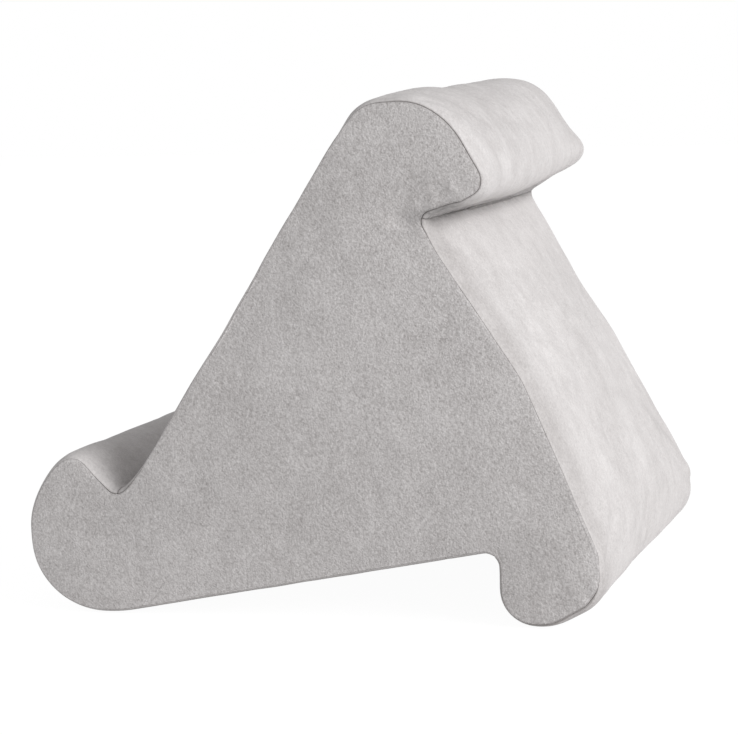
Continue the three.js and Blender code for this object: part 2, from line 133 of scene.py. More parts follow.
class Bench:
    """Adds nodes to one node tree and wires them."""

    def __init__(self, tree: bpy.types.NodeTree) -> None:
        """Keeps the tree that the nodes go into."""
        self.tree = tree

    def node(self, kind: str, settings: dict[str, object], inputs: dict[object, Value]) -> list[Signal]:
        """Adds one node.

        Args:
            kind: the node's type name.
            settings: properties of the node, which are set before its sockets.
            inputs: values or signals by socket name or number.

        Returns:
            The node's outputs as signals.
        """
        made = self.tree.nodes.new(kind)
        for name, value in settings.items():
            setattr(made, name, value)
        for key, value in inputs.items():
            self.feed(made.inputs[key], value)
        return [Signal(self, out) for out in made.outputs if out.enabled]

    def feed(self, socket: bpy.types.NodeSocket, value: Value) -> None:
        """Links a signal to a socket, or sets the socket's own value.

        Args:
            socket: the input socket.
            value: a signal, or the value to set; a colour may leave out its alpha.
        """
        if isinstance(value, Signal):
            self.tree.links.new(value.socket, socket)
        elif socket.type == "RGBA" and len(value) == 3:
            socket.default_value = (*value, 1.0)
        else:
            socket.default_value = value

    def mixed(self, factor: Value, first: Value, second: Value) -> Signal:
        """A colour between two colours."""
        values = {"Factor": factor, 6: first, 7: second}
        return self.node("ShaderNodeMix", {"data_type": "RGBA"}, values)[0]


class Surface(Bench):
    """A material's tree, with the texture nodes that the finishes share."""

    def __init__(self, name: str) -> None:
        """Makes an empty material.

        Args:
            name: the material's name.
        """
        self.material = bpy.data.materials.new(name)
        self.material.use_nodes = True
        super().__init__(self.material.node_tree)
        self.tree.nodes.clear()
        self.place = self.node("ShaderNodeTexCoord", {}, {})[3]

    def stretched(self, scale: Sequence[float], turn: Sequence[float] = (0, 0, 0)) -> Signal:
        """The piece's own coordinates, turned and then scaled along each axis."""
        values = {"Vector": self.place, "Scale": scale, "Rotation": turn}
        return self.node("ShaderNodeMapping", {}, values)[0]

    def grain(self, size: float, detail: float = 2.0, vector: Signal | None = None) -> Signal:
        """Noise about 0, from -0.5 to 0.5, whose lumps are about `size` across."""
        values = {"Vector": vector or self.place, "Scale": 1.0 / size, "Detail": detail}
        return self.node("ShaderNodeTexNoise", {}, values)[0] - 0.5

    def attribute(self, name: str) -> Signal:
        """A number stored on the piece's points."""
        return self.node("ShaderNodeAttribute", {"attribute_name": name}, {})[2]

    def bump(self, height: Signal, distance: float, strength: float = 1.0) -> Signal:
        """A normal that follows a height pattern."""
        values = {"Height": height, "Distance": distance, "Strength": strength}
        return self.node("ShaderNodeBump", {}, values)[0]

    def finish(self, **sockets: Value) -> bpy.types.Material:
        """Adds the shader and the output.

        Args:
            sockets: values or signals for the shader, an underscore standing for a space.

        Returns:
            The finished material.
        """
        values = {name.replace("_", " "): value for name, value in sockets.items()}
        shader = self.node("ShaderNodeBsdfPrincipled", {}, values)[0]
        self.node("ShaderNodeOutputMaterial", {}, {"Surface": shader})
        return self.material


# ---- Finishes -----------------------------------------------------------------------------
SEAM_DISTANCE = "seam_distance"
SEAM_OPENNESS = "seam_openness"
FOLD_SHADE = "fold_shade"


@dataclass(frozen=True)
class Suede:
    """Short-pile faux suede: fine speckle, brushed patches, a painted highlight as a light line beside each
    seam, and painted shade in the seams, in the folds and, where set, towards the near end.
    """

    dark: Colour = (0.36, 0.338, 0.332)
    light: Colour = (0.80, 0.775, 0.772)
    # Colour of the painted shade in the groove under the hook and in the front ledge.
    painted_shade_colour: Colour = (0.10, 0.094, 0.092)
    contrast: float = 1.0
    streaks: float = 0.12
    near_edge_shade: float = 0.0
    painted_shade_strength: float = 0.55
    highlight_band: tuple[float, float] = (2.6 * MM, 0.8 * MM)
    gap_band: tuple[float, float] = (0.3 * MM, -0.5 * MM)
    shadow_band: tuple[float, float] = (1.4 * MM, 0.0)
    edge_shade_span: tuple[float, float] = (88 * MM, 110 * MM)
    speckle: float = 0.85 * MM
    patch: float = 9 * MM
    cloud: float = 42 * MM
    nap_turn: tuple[float, float, float] = (0.0, 0.0, 0.0)

    def material(self, name: str) -> bpy.types.Material:
        """The material of one panel, with its nap lying along `nap_turn`.

        Args:
            name: name of the material.

        Returns:
            The suede's material.
        """
        s = Surface(name)
        fine = s.grain(self.speckle, 3.0)
        dots = s.grain(self.speckle * 1.9, 1.5)
        patches = s.grain(self.patch, 3.0)
        clouds = s.grain(self.cloud, 2.0)
        brushed = s.grain(1.0, 2.0, s.stretched((260, 260, 26), self.nap_turn))
        wisps = s.grain(1.0, 3.0, s.stretched((55, 30, 9), self.nap_turn))
        seam = s.attribute(SEAM_DISTANCE)
        gaping = s.attribute(SEAM_OPENNESS)
        # Painted highlight: the tone is raised within a few millimetres of each seam.
        seam_highlight = seam.between(*self.highlight_band) * 0.07
        # Painted shade: a dark line in and along each seam, darker where the seam gapes.
        shadow = seam.between(*self.shadow_band) * 0.36 * gaping
        seam_gap_shade = (seam.between(*self.gap_band) * 0.5 + shadow) * gaping
        # Painted shade: the colour is mixed towards the near-black one where fold_shade marks the groove
        # under the hook and the front ledge.
        fold = s.attribute(FOLD_SHADE) * (s.grain(3 * MM) * 2.4 + patches + 1) * self.painted_shade_strength
        x = s.node("ShaderNodeSeparateXYZ", {}, {"Vector": s.place})[0]
        # Painted shade: the tone is lowered towards the near end, from 88 to 110 mm along X.
        edge = (x + patches * 0.02).between(*self.edge_shade_span) * self.near_edge_shade
        grain = (fine * 1.3 + dots * 0.75) * self.contrast
        tone = 0.5 + grain + patches * 0.3 + clouds * 0.36 + (brushed + wisps) * self.streaks
        tone = (tone + seam_highlight - seam_gap_shade - edge).clamped()
        cloth = s.mixed(tone, self.dark, self.light)
        height = fine * 0.7 + dots * 0.5 + patches * 0.5
        return s.finish(
            Base_Color=s.mixed(fold.clamped(), cloth, self.painted_shade_colour),
            Roughness=(0.93 - fine * 0.15).clamped(),
            Specular_IOR_Level=0.12,
            Sheen_Weight=0.22,
            Sheen_Roughness=0.55,
            Sheen_Tint=(0.95, 0.93, 0.93, 1.0),
            Normal=s.bump(height, 0.6 * MM, 0.35 + 0.5 * self.contrast),
        )


@dataclass(frozen=True)
class OpenCellFoam:
    """Cream upholstery foam with small open cells."""

    wall: Colour = (0.90, 0.85, 0.68)
    cell: Colour = (0.62, 0.54, 0.36)
    cell_size: float = 1.3 * MM

    def material(self, name: str) -> bpy.types.Material:
        """The foam's material.

        Args:
            name: name of the material.

        Returns:
            The material, with its cells in the stand's own coordinates.
        """
        s = Surface(name)
        values = {"Vector": s.place, "Scale": 1.0 / self.cell_size}
        cells = s.node("ShaderNodeTexVoronoi", {"feature": "F1"}, values)[0]
        aged = s.grain(60 * MM) * 0.5
        tone = (cells * 0.75 + aged).clamped()
        return s.finish(
            Base_Color=s.mixed(tone, self.wall, self.cell),
            Roughness=(0.86 + tone * 0.1).clamped(),
            Normal=s.bump(1 - cells, 0.5 * MM, 0.6),
        )


@dataclass(frozen=True)
class WovenTape:
    """Ribbed polyester tape, or any other narrow weave."""

    colour: Colour = (0.42, 0.40, 0.395)
    rib: float = 0.55 * MM
    gloss: float = 0.0

    def material(self, name: str) -> bpy.types.Material:
        """The tape's material: ribs along X crossed by finer picks.

        Args:
            name: name of the material.

        Returns:
            The material of tape or ribbon.
        """
        s = Surface(name)
        x, y = s.node("ShaderNodeSeparateXYZ", {}, {"Vector": s.place})[:2]
        ribs = (y * (2 * math.pi / self.rib)).sine()
        picks = (x * (2 * math.pi / (self.rib * 1.4))).sine()
        weave = (ribs * picks * 0.5 + 0.5).clamped()
        worn = s.grain(5 * MM) * 0.5
        dark = tuple(0.62 * c for c in self.colour)
        return s.finish(
            Base_Color=s.mixed((weave * 0.7 + 0.25 + worn).clamped(), dark, self.colour),
            Roughness=(0.85 - self.gloss - weave * 0.1).clamped(),
            Normal=s.bump(weave, 0.12 * MM, 0.8),
        )


@dataclass(frozen=True)
class TwistedThread:
    """Polyester thread with a slanting twist."""

    colour: Colour = (0.27, 0.255, 0.25)
    twist: float = 0.5 * MM

    def material(self, name: str) -> bpy.types.Material:
        """The thread's material.

        Args:
            name: name of the material.

        Returns:
            The material, its plies slanting across the stitches.
        """
        s = Surface(name)
        x, y, z = s.node("ShaderNodeSeparateXYZ", {}, {"Vector": s.place})
        plies = ((x + y + z) * (2 * math.pi / self.twist)).sine() * 0.5 + 0.5
        tone = (plies * 0.6 + 0.2 + s.grain(4 * MM) * 0.4).clamped()
        dark = tuple(0.5 * c for c in self.colour)
        return s.finish(
            Base_Color=s.mixed(tone, dark, self.colour),
            Roughness=(0.7 + tone * 0.15).clamped(),
            Normal=s.bump(plies, 0.08 * MM, 0.7),
        )


@dataclass(frozen=True)
class Nylon:
    """Drawn nylon wire, slightly glossy."""

    colour: Colour = (0.36, 0.345, 0.34)

    def material(self, name: str) -> bpy.types.Material:
        """The wire's material.

        Args:
            name: name of the material.

        Returns:
            The material of the coils.
        """
        s = Surface(name)
        drawn = s.grain(0.5 * MM, 2.0)
        worn = s.grain(7 * MM, 2.0)
        tone = (0.6 + drawn * 0.3 + worn * 0.6).clamped()
        dark = tuple(0.7 * c for c in self.colour)
        return s.finish(
            Base_Color=s.mixed(tone, dark, self.colour),
            Roughness=(0.38 + worn * 0.3).clamped(),
            Specular_IOR_Level=0.5,
            Normal=s.bump(drawn, 0.02 * MM, 0.4),
        )


@dataclass(frozen=True)
class LacqueredZinc:
    """Die-cast zinc under grey lacquer, rubbed bright in places."""

    lacquer: Colour = (0.30, 0.295, 0.295)
    bare: Colour = (0.62, 0.62, 0.63)

    def material(self, name: str) -> bpy.types.Material:
        """The casting's material.

        Args:
            name: name of the material.

        Returns:
            The material of slider, pull tab and stops.
        """
        s = Surface(name)
        rubbed = s.grain(2.2 * MM, 4.0).between(0.08, 0.2)
        orange = s.grain(0.35 * MM, 2.0)
        return s.finish(
            Base_Color=s.mixed(rubbed * 0.6, self.lacquer, self.bare),
            Metallic=(0.75 + rubbed * 0.25).clamped(),
            Roughness=(0.34 + orange * 0.25 - rubbed * 0.08).clamped(),
            Normal=s.bump(orange, 0.015 * MM, 0.5),
        )


# ---- Side profile -------------------------------------------------------------------------
@dataclass(frozen=True)
class Corner:
    """One corner of the side profile, before rounding."""

    name: str
    at: tuple[float, float]
    round: float


def unit(v: np.ndarray) -> np.ndarray:
    """The vector at length 1."""
    return v / max(float(np.linalg.norm(v)), 1e-12)


def inward(direction: np.ndarray) -> np.ndarray:
    """The normal that points into the stand from an edge of the profile."""
    return np.array((direction[1], -direction[0]))


@dataclass(frozen=True)
class Profile:
    """The stand's side profile: front lip, tablet face, hook, rear face and rear foot.

    Heights are above the floor. The outline runs from under the lip, up the front, over the hook and
    down the back to the floor, and then along the underside.
    """

    depth: float
    height: float
    ledge_depth: float = 45.3 * MM
    ledge_height: float = 55 * MM
    lip_shoulder: float = 60.7 * MM
    lip_crest_depth: float = 25.7 * MM
    lip_crest_height: float = 76.7 * MM
    lip_round: float = 34.5 * MM
    lip_shoulder_round: float = 39 * MM
    lip_crest_round: float = 9 * MM
    ledge_round: float = 3.3 * MM
    face_slope: float = 57 * DEGREE
    hook_top: float = 39.4 * MM
    hook_overhang: float = 22.3 * MM
    hook_drop: float = 40.8 * MM
    hook_tip_run: float = 14 * MM
    hook_tip_drop: float = 8.6 * MM
    hook_ledge_depth: float = 19.1 * MM
    hook_ledge_fall: float = 5.4 * MM
    top_front_round: float = 17.7 * MM
    top_rear_round: float = 38.5 * MM
    hook_tip_round: float = 11 * MM
    hook_under_round: float = 5 * MM
    rear_crown: float = 7.6 * MM
    rear_crown_round: float = 60 * MM
    foot_depth: float = 49.4 * MM
    foot_shoulder: float = 34.8 * MM
    foot_heel: float = 12.7 * MM
    foot_ledge_height: float = 33.7 * MM
    foot_shoulder_round: float = 19.8 * MM
    foot_heel_round: float = 20 * MM
    foot_front_round: float = 17.4 * MM
    foot_ledge_round: float = 5.7 * MM
    rest_strip: float = 8 * MM
    foot_rest_round: float = 24 * MM
    lip_rest_round: float = 66 * MM
    zip_setback: float = 30 * MM
    hem_gap: float = 13 * MM
    spacing: float = 3.6 * MM
    finest_turn: float = 15 * DEGREE
    smallest_round: float = 0.4 * MM

    @cached_property
    def corners(self) -> list[Corner]:
        """The corners in order round the profile.

        Returns:
            One corner for each bend, from under the lip over the hook to the foot and back.
        """
        front, back = -self.depth / 2, self.depth / 2
        ledge_y = front + self.ledge_depth
        top_y = ledge_y + (self.height - self.ledge_height) / math.tan(self.face_slope)
        tip_y = top_y + self.hook_top + self.hook_overhang
        under = np.array((tip_y - self.hook_tip_run, self.height - self.hook_drop - self.hook_tip_drop))
        hook_ledge = under - (self.hook_ledge_depth, self.hook_ledge_fall)
        shoulder = np.array((back, self.foot_shoulder))
        outwards = -inward(unit(shoulder - hook_ledge))
        crown = (hook_ledge + shoulder) / 2 + outwards * self.rear_crown
        foot_y = back - self.foot_depth
        return [
            Corner("lip_heel", (front, 0), self.lip_round),
            Corner("lip_shoulder", (front, self.lip_shoulder), self.lip_shoulder_round),
            Corner("lip_crest", (front + self.lip_crest_depth, self.lip_crest_height), self.lip_crest_round),
            Corner("ledge", (ledge_y, self.ledge_height), self.ledge_round),
            Corner("top_front", (top_y, self.height), self.top_front_round),
            Corner("top_rear", (top_y + self.hook_top, self.height), self.top_rear_round),
            Corner("hook_tip", (tip_y, self.height - self.hook_drop), self.hook_tip_round),
            Corner("hook_under", tuple(under), self.hook_under_round),
            Corner("hook_ledge", tuple(hook_ledge), self.ledge_round),
            Corner("rear_crown", tuple(crown), self.rear_crown_round),
            Corner("foot_shoulder", tuple(shoulder), self.foot_shoulder_round),
            Corner("foot_heel", (back, self.foot_heel), self.foot_heel_round),
            Corner("foot_rest", (foot_y + self.foot_front_round + self.rest_strip, 0), self.foot_rest_round),
            Corner("foot_front", (foot_y, 0), self.foot_front_round),
            Corner("foot_ledge", (foot_y, self.foot_ledge_height), self.foot_ledge_round),
            Corner("lip_rest", (front + self.lip_round + self.rest_strip, 0), self.lip_rest_round),
        ]

    def _edges(self, i: int) -> tuple[np.ndarray, np.ndarray, float]:
        """Directions into and out of a corner, and the turn between them.

        Args:
            i: number of the corner.

        Returns:
            The direction of the edge before it, of the edge after it, and the turn in radians.
        """
        points = [np.array(c.at) for c in self.corners]
        before = unit(points[i] - points[i - 1])
        after = unit(points[(i + 1) % len(points)] - points[i])
        turn = math.atan2(before[0] * after[1] - before[1] * after[0], float(before @ after))
        return before, after, turn

    def _arc(self, i: int, inset: float) -> np.ndarray:
        """Points of a corner's round.

        Args:
            i: number of the corner.
            inset: distance inwards from the full profile.

        Returns:
            An array of (y, z), as many for every inset.
        """
        before, after, turn = self._edges(i)
        own = self.corners[i].round
        convex = turn < 0
        radius = max(own - inset, self.smallest_round) if convex else own + inset
        normal, following = inward(before), inward(after)
        tip = np.array(self.corners[i].at) + (normal + following) * inset / (1 + float(normal @ following))
        start = tip - before * radius * math.tan(abs(turn) / 2)
        centre = start + normal * (radius if convex else -radius)
        wanted = max(abs(turn) * own / self.spacing, abs(turn) / self.finest_turn)
        steps = 2 * max(1, math.ceil(wanted / 2))
        angles = turn * np.arange(steps + 1) / steps
        arm = start - centre
        c, s = np.cos(angles), np.sin(angles)
        return centre + np.stack((arm[0] * c - arm[1] * s, arm[0] * s + arm[1] * c), axis=1)

    @cached_property
    def groove(self) -> np.ndarray:
        """The line across the underside of the hook, from the ledge nearly to the tip."""
        at = {c.name: np.array(c.at) for c in self.corners}
        return np.array((at["hook_ledge"], at["hook_ledge"] * 0.15 + at["hook_under"] * 0.85))

    @cached_property
    def zip_seat(self) -> tuple[np.ndarray, np.ndarray]:
        """Where the zip's middle line meets the underside.

        Returns:
            The place, (y, z), and the direction of the underside there, towards the lip.
        """
        at = {c.name: np.array(c.at) for c in self.corners}
        along = unit(at["lip_rest"] - at["foot_ledge"])
        return at["foot_ledge"] + along * self.zip_setback, along

    def _stops(self, i: int, inset: float) -> list[np.ndarray]:
        """The ends of the straight that follows a corner, and the two hems where it crosses the zip.

        Args:
            i: number of the corner.
            inset: distance inwards from the full profile.

        Returns:
            Two points, or four on the straight with the zip.
        """
        stops = [self._arc(i, inset)[-1], self._arc((i + 1) % len(self.corners), inset)[0]]
        if self.corners[i].name == "foot_ledge":
            seat, along = self.zip_seat
            seat = seat + inward(along) * inset
            half = along * self.hem_gap / 2
            stops[1:1] = [seat - half, seat + half]
        return stops

    @cached_property
    def layout(self) -> tuple[list[list[int]], dict[str, int]]:
        """How the outline is divided into points.

        Returns:
            How many steps the parts of each straight have, and the number of each named point.
        """
        counts: list[list[int]] = []
        marks: dict[str, int] = {}
        total = 0
        for i, corner in enumerate(self.corners):
            arc = len(self._arc(i, 0.0))
            marks[corner.name] = total + arc // 2
            total += arc
            stops = self._stops(i, 0.0)
            lengths = [float(np.linalg.norm(b - a)) for a, b in zip(stops, stops[1:])]
            steps = [max(1, round(length / self.spacing)) for length in lengths]
            if len(steps) == 3:
                marks["hem_rear"] = total + steps[0] - 1
                marks["hem_front"] = total + steps[0] + steps[1] - 1
            total += sum(steps) - 1
            counts.append(steps)
        return counts, marks

    def outline(self, inset: float) -> np.ndarray:
        """The outline's points, `inset` inside the full profile; every inset has as many points.

        Args:
            inset: distance inwards from the full profile.

        Returns:
            An array of (y, z).
        """
        points: list[np.ndarray] = []
        counts, _ = self.layout
        for i in range(len(self.corners)):
            points.extend(self._arc(i, inset))
            stops = self._stops(i, inset)
            straight = []
            for a, b, steps in zip(stops, stops[1:], counts[i]):
                straight.extend(a + (b - a) * k / steps for k in range(1, steps + 1))
            points.extend(straight[:-1])
        return np.array(points)

    def span(self, start: str, end: str) -> list[int]:
        """Numbers of the outline's points from one named point to another.

        Args:
            start: name of the first point.
            end: name of the last point.

        Returns:
            The numbers in order, both ends among them.
        """
        count = len(self.outline(0.0))
        marks = self.layout[1]
        first = marks[start]
        return [(first + k) % count for k in range((marks[end] - first) % count + 1)]


# ---- Cover --------------------------------------------------------------------------------
class Panel(Enum):
    """The pieces of cloth that the cover is cut from, and the slot that the zip closes."""

    END_RIGHT = "cover_end_right"
    END_LEFT = "cover_end_left"
    TABLET_FACE = "cover_tablet_face"
    REAR_FACE = "cover_rear_face"
    UNDERSIDE = "cover_underside"
    ZIP_STRIP = "cover_zip_strip"
    ZIP_SLOT = "zip_slot"


WRAPS = {
    Panel.TABLET_FACE: ("ledge", "hook_ledge"),
    Panel.REAR_FACE: ("hook_ledge", "foot_ledge"),
    Panel.ZIP_STRIP: ("foot_ledge", "hem_rear"),
    Panel.ZIP_SLOT: ("hem_rear", "hem_front"),
    Panel.UNDERSIDE: ("hem_front", "ledge"),
}
COVER_NODES = {
    Panel.END_RIGHT: "end_panel_right",
    Panel.END_LEFT: "end_panel_left",
    Panel.TABLET_FACE: "wrap_front",
    Panel.REAR_FACE: "wrap_back",
    Panel.UNDERSIDE: "wrap_base",
    Panel.ZIP_STRIP: "wrap_zip_strip",
}
CROSS_SEAMS = ("ledge", "hook_ledge", "foot_ledge")


def smooth_step(low: float, high: float, value: np.ndarray) -> np.ndarray:
    """0 below low, 1 above high and smooth between; low may be above high."""
    t = np.clip((value - low) / (high - low), 0, 1)
    return t * t * (3 - 2 * t)


def distance_to_line(points: np.ndarray, line: np.ndarray) -> np.ndarray:
    """Each point's distance to a line of several points.

    Args:
        points: the points.
        line: the line's points, in order.

    Returns:
        One distance for each point.
    """
    best = np.full(len(points), 1e9)
    for a, b in zip(line[:-1], line[1:]):
        along = b - a
        t = np.clip((points - a) @ along / max(float(along @ along), 1e-18), 0, 1)
        best = np.minimum(best, np.linalg.norm(points - a - t[:, None] * along, axis=1))
    return best


def point_normals(points: np.ndarray, faces: Sequence[Sequence[int]]) -> np.ndarray:
    """Area-weighted normals at the points of a mesh.

    Args:
        points: the mesh's points.
        faces: its triangles and quads.

    Returns:
        One unit normal for each point.
    """
    normals = np.zeros_like(points)
    for size in (3, 4):
        group = np.array([f for f in faces if len(f) == size], int).reshape(-1, size)
        if len(group):
            p = points[group]
            n = np.cross(p[:, 2] - p[:, 0], p[:, -1] - p[:, 1])
            for k in range(size):
                np.add.at(normals, group[:, k], n)
    return normals / np.maximum(np.linalg.norm(normals, axis=1), 1e-12)[:, None]


@dataclass
class Crease:
    """A fold in the cloth: a valley along a line, with a low ridge on each side."""

    line: Sequence[tuple[float, float, float]]
    depth: float
    width: float

    def shift(self, points: np.ndarray) -> np.ndarray:
        """How far each point moves along its normal.

        Args:
            points: the skin's points.

        Returns:
            One distance for each point, below 0 in the valley.
        """
        line = np.array(self.line) * MM
        u = distance_to_line(points, line) / self.width
        fade = 1 - smooth_step(0.75, 1.0, np.clip(u / 4, 0, 1))
        return self.depth * (0.35 * np.exp(-((u - 1.7) ** 2)) - np.exp(-u * u)) * fade


@dataclass
class Swell:
    """A soft bump, or a hollow where the height is negative, along one direction or the normals."""

    centre: tuple[float, float, float]
    radius: tuple[float, float, float]
    height: float
    direction: tuple[float, float, float] | None = None

    def shift(self, points: np.ndarray) -> np.ndarray:
        """How far each point moves.

        Args:
            points: the skin's points.

        Returns:
            One distance for each point.
        """
        offset = (points - np.array(self.centre) * MM) / (np.array(self.radius) * MM)
        return self.height * np.exp(-(offset**2).sum(1))


@dataclass
class Cover:
    """The sewn cover, built as one closed skin and then cut into its panels."""

    profile: Profile
    width: float
    seam_crown: float = 4 * MM
    seam_inset: float = 1.9 * MM
    rear_inset: float = 2.8 * MM
    border: float = 9 * MM
    border_turn: float = 68 * DEGREE
    border_steps: int = 6
    end_rings: tuple[float, ...] = (0.7 * MM, 1.7 * MM, 3.2 * MM)
    end_band: float = 8 * MM
    end_edge_share: float = 0.13
    end_slow_share: float = 0.36
    end_slow_band: float = 55 * MM
    end_slack: float = 0.55
    end_spacing: float = 2.9 * MM
    net_clearance: float = 0.62
    row_spacing: float = 4.0 * MM
    face_crown: float = 1.2 * MM
    cloth: float = 0.9 * MM
    unevenness: float = 0.55 * MM
    lump: float = 38 * MM
    pucker: float = 15 * MM
    hook_lift: float = 5.0 * MM
    cap: float = 6 * MM
    end_hold: float = 0.04
    first_hold: float = 0.25
    settling_steps: int = 20
    tension: float = 18
    bending: float = 0.6
    pressure: float = 4.0
    rim_drop: float = 0.2 * MM
    turned_edge: tuple[tuple[float, float], ...] = (
        (0.07 * MM, 0.45 * MM), (0.012 * MM, 0.95 * MM), (0.012 * MM, 1.5 * MM),
    )
    creases: Sequence[Crease] = ()
    swells: Sequence[Swell] = ()
    points: np.ndarray = field(default_factory=lambda: np.zeros((0, 3)))
    faces: list[tuple[int, ...]] = field(default_factory=list)
    panels: list[Panel] = field(default_factory=list)

    @property
    def seam_x(self) -> float:
        """How far the end seams are from the middle."""
        return self.width / 2 - self.seam_crown

    def ring(self, drop: float, beyond: float = 0.0) -> np.ndarray:
        """The outline as one row of points, (y, z).

        Args:
            drop: how far the row has turned in towards the seam, from 0 to 1.
            beyond: distance inwards from there.

        Returns:
            The row's points; at the back the cloth turns in further than elsewhere.
        """
        near = self.profile.outline(self.seam_inset * drop + beyond)
        deep = self.profile.outline(self.rear_inset * drop + beyond)
        y, z = self.profile.outline(0.0).T
        share = smooth_step(35 * MM, 75 * MM, y) * smooth_step(3 * MM, 26 * MM, z + 0.35 * (y - 100 * MM))
        share *= 1 - smooth_step(44 * MM, 34 * MM, z) * smooth_step(114 * MM, 96 * MM, y)
        share *= smooth_step(4 * MM, 16 * MM, distance_to_line(np.column_stack((y, z)), self.profile.groove))
        return near + (deep - near) * share[:, None]

    def stations(self) -> list[tuple[float, float]]:
        """The rows of points across the width.

        Returns:
            (x, drop) of each row, from the left seam to the right one.
        """
        inner = self.seam_x - self.border
        side = []
        for k in range(1, self.border_steps + 1):
            angle = self.border_turn * k / self.border_steps
            reach = math.sin(angle) / math.sin(self.border_turn)
            drop = (1 - math.cos(angle)) / (1 - math.cos(self.border_turn))
            side.append((inner + self.border * reach, drop))
        rows = round(2 * inner / self.row_spacing)
        middle = [(-inner + 2 * inner * k / rows, 0.0) for k in range(rows + 1)]
        return [(-x, drop) for x, drop in reversed(side)] + middle + side

    def build(self) -> None:
        """Builds the skin at its sewn size."""
        rows = self.stations()
        inner = self.seam_x - self.border
        count = len(self.profile.outline(0.0))
        points = []
        for x, drop in rows:
            points.append(np.column_stack((np.full(count, x), self.ring(drop))))
        self.points = np.concatenate(points)
        for panel, (start, end) in WRAPS.items():
            span = self.profile.span(start, end)
            for k in range(len(rows) - 1):
                here, there = k * count, (k + 1) * count
                beyond = max(abs(rows[k][0]), abs(rows[k + 1][0])) > inner + 0.01 * MM
                cut_from = Panel.UNDERSIDE if beyond and panel is Panel.ZIP_SLOT else panel
                for a, b in zip(span, span[1:]):
                    self._face(cut_from, (here + a, there + a, there + b, here + b))
        self._end(Panel.END_RIGHT, (len(rows) - 1) * count, count)
        self._end(Panel.END_LEFT, 0, count)

    def _face(self, panel: Panel, face: tuple[int, ...]) -> None:
        """Adds a face to a panel."""
        self.faces.append(face)
        self.panels.append(panel)

    def _rise(self, distance: np.ndarray) -> np.ndarray:
        """How far an end panel stands out past its seam.

        Args:
            distance: distances from the seam.

        Returns:
            One height for each distance.
        """
        u = 1 - np.clip(distance / self.end_band, 0, 1)
        edge = 1 - u * u
        slow = smooth_step(0.0, self.end_slow_band, distance)
        return self.seam_crown * (self.end_edge_share * edge + self.end_slow_share * slow)

    def _end(self, panel: Panel, first: int, count: int) -> None:
        """Builds an end panel: rings that follow the seam and an even net inside them.

        Args:
            panel: which end it is.
            first: number of the seam's first point.
            count: how many points the seam has.
        """
        side = 1 if panel is Panel.END_RIGHT else -1
        seam = self.ring(1.0)
        closed = np.concatenate((seam, seam[:1]))
        ring = list(range(first, first + count))
        for step in self.end_rings:
            flat = self.ring(1.0, step)
            start = len(self.points)
            self.points = np.concatenate((self.points, self._lifted(flat, closed, side)))
            following = list(range(start, start + count))
            for j in range(count):
                k = (j + 1) % count
                face = (ring[j], following[j], following[k], ring[k])
                self._face(panel, face if side > 0 else face[::-1])
            ring = following
        net = self._net(self.ring(1.0, self.end_rings[-1]))
        start = len(self.points)
        self.points = np.concatenate((self.points, self._lifted(net[0][count:], closed, side)))
        names = ring + list(range(start, start + len(net[0]) - count))
        for face in net[1]:
            a, b, c = (net[0][v] for v in face)
            turn = (b[0] - a[0]) * (c[1] - a[1]) - (b[1] - a[1]) * (c[0] - a[0])
            face = face if turn * side > 0 else face[::-1]
            self._face(panel, tuple(names[v] for v in face))

    def _lifted(self, flat: np.ndarray, seam: np.ndarray, side: int) -> np.ndarray:
        """Places flat points of an end panel at their height."""
        rise = self._rise(distance_to_line(flat, seam))
        return np.column_stack((side * (self.seam_x + rise), flat))

    def _net(self, ring: np.ndarray) -> tuple[np.ndarray, list[list[int]]]:
        """Fills a ring with an even net of triangles.

        Args:
            ring: the ring's points, (y, z).

        Returns:
            All the points, the ring's first, and the triangles.
        """
        step = self.end_spacing
        closed = np.concatenate((ring, ring[:1]))
        low, high = ring.min(0), ring.max(0)
        ys = np.arange(low[0], high[0], step)
        zs = np.arange(low[1], high[1], step * math.sqrt(3) / 2)
        grid = np.array([(y + (k % 2) * step / 2, z) for k, z in enumerate(zs) for y in ys])
        clear = distance_to_line(grid, closed) > step * self.net_clearance
        grid = grid[inside(grid, closed) & clear]
        everything = [Vector(p) for p in np.concatenate((ring, grid))]
        edges = [(j, (j + 1) % len(ring)) for j in range(len(ring))]
        made = delaunay_2d_cdt(everything, edges, [], 1, 1e-9)
        origin = [ids[0] for ids in made[3]]
        return np.concatenate((ring, grid)), [[origin[v] for v in f] for f in made[2]]

    def soften(self) -> None:
        """Gives the skin the slack of real cloth over foam: crowned faces, bumps and creases."""
        n = point_normals(self.points, self.faces)
        x, y, z = self.points.T
        across = np.clip(1 - (x / self.seam_x) ** 2, 0, 1)
        wrap = np.abs(n[:, 0]) < 0.5
        clear = self._clear_of_zip()
        move = self.face_crown * across * wrap * smooth_step(2 * MM, 20 * MM, z) * clear
        places = [Vector(p) for p in self.points]
        rough = np.array([noise.noise(p / self.lump) + 0.5 * noise.noise(p / self.pucker) for p in places])
        move += self.unevenness * rough * smooth_step(0, 15 * MM, z) * clear
        leaning = np.zeros_like(self.points)
        for item in (*self.creases, *self.swells):
            shift = item.shift(self.points) * clear
            if isinstance(item, Swell) and item.direction:
                leaning += shift[:, None] * unit(np.array(item.direction))
            else:
                move += shift
        self.points = self.points + n * move[:, None] + leaning
        top = smooth_step(186 * MM, 204 * MM, z) * smooth_step(10 * MM, 60 * MM, y)
        under = smooth_step(176 * MM, 186 * MM, z) * smooth_step(58 * MM, 76 * MM, y)
        hook = np.maximum(top, under)
        far = smooth_step(40 * MM, -130 * MM, x)
        self.points[:, 2] += self.hook_lift * hook * far
        self.points[:, 2] = np.maximum(self.points[:, 2], 0)

    def _clear_of_zip(self) -> np.ndarray:
        """Where the cloth is free to move.

        Returns:
            For each point, 0 beside the zip, where the cloth stays flat, and 1 away from it.
        """
        seat, _ = self.profile.zip_seat
        gap = np.linalg.norm(self.points[:, 1:] - seat, axis=1)
        return smooth_step(20 * MM, 34 * MM, gap)

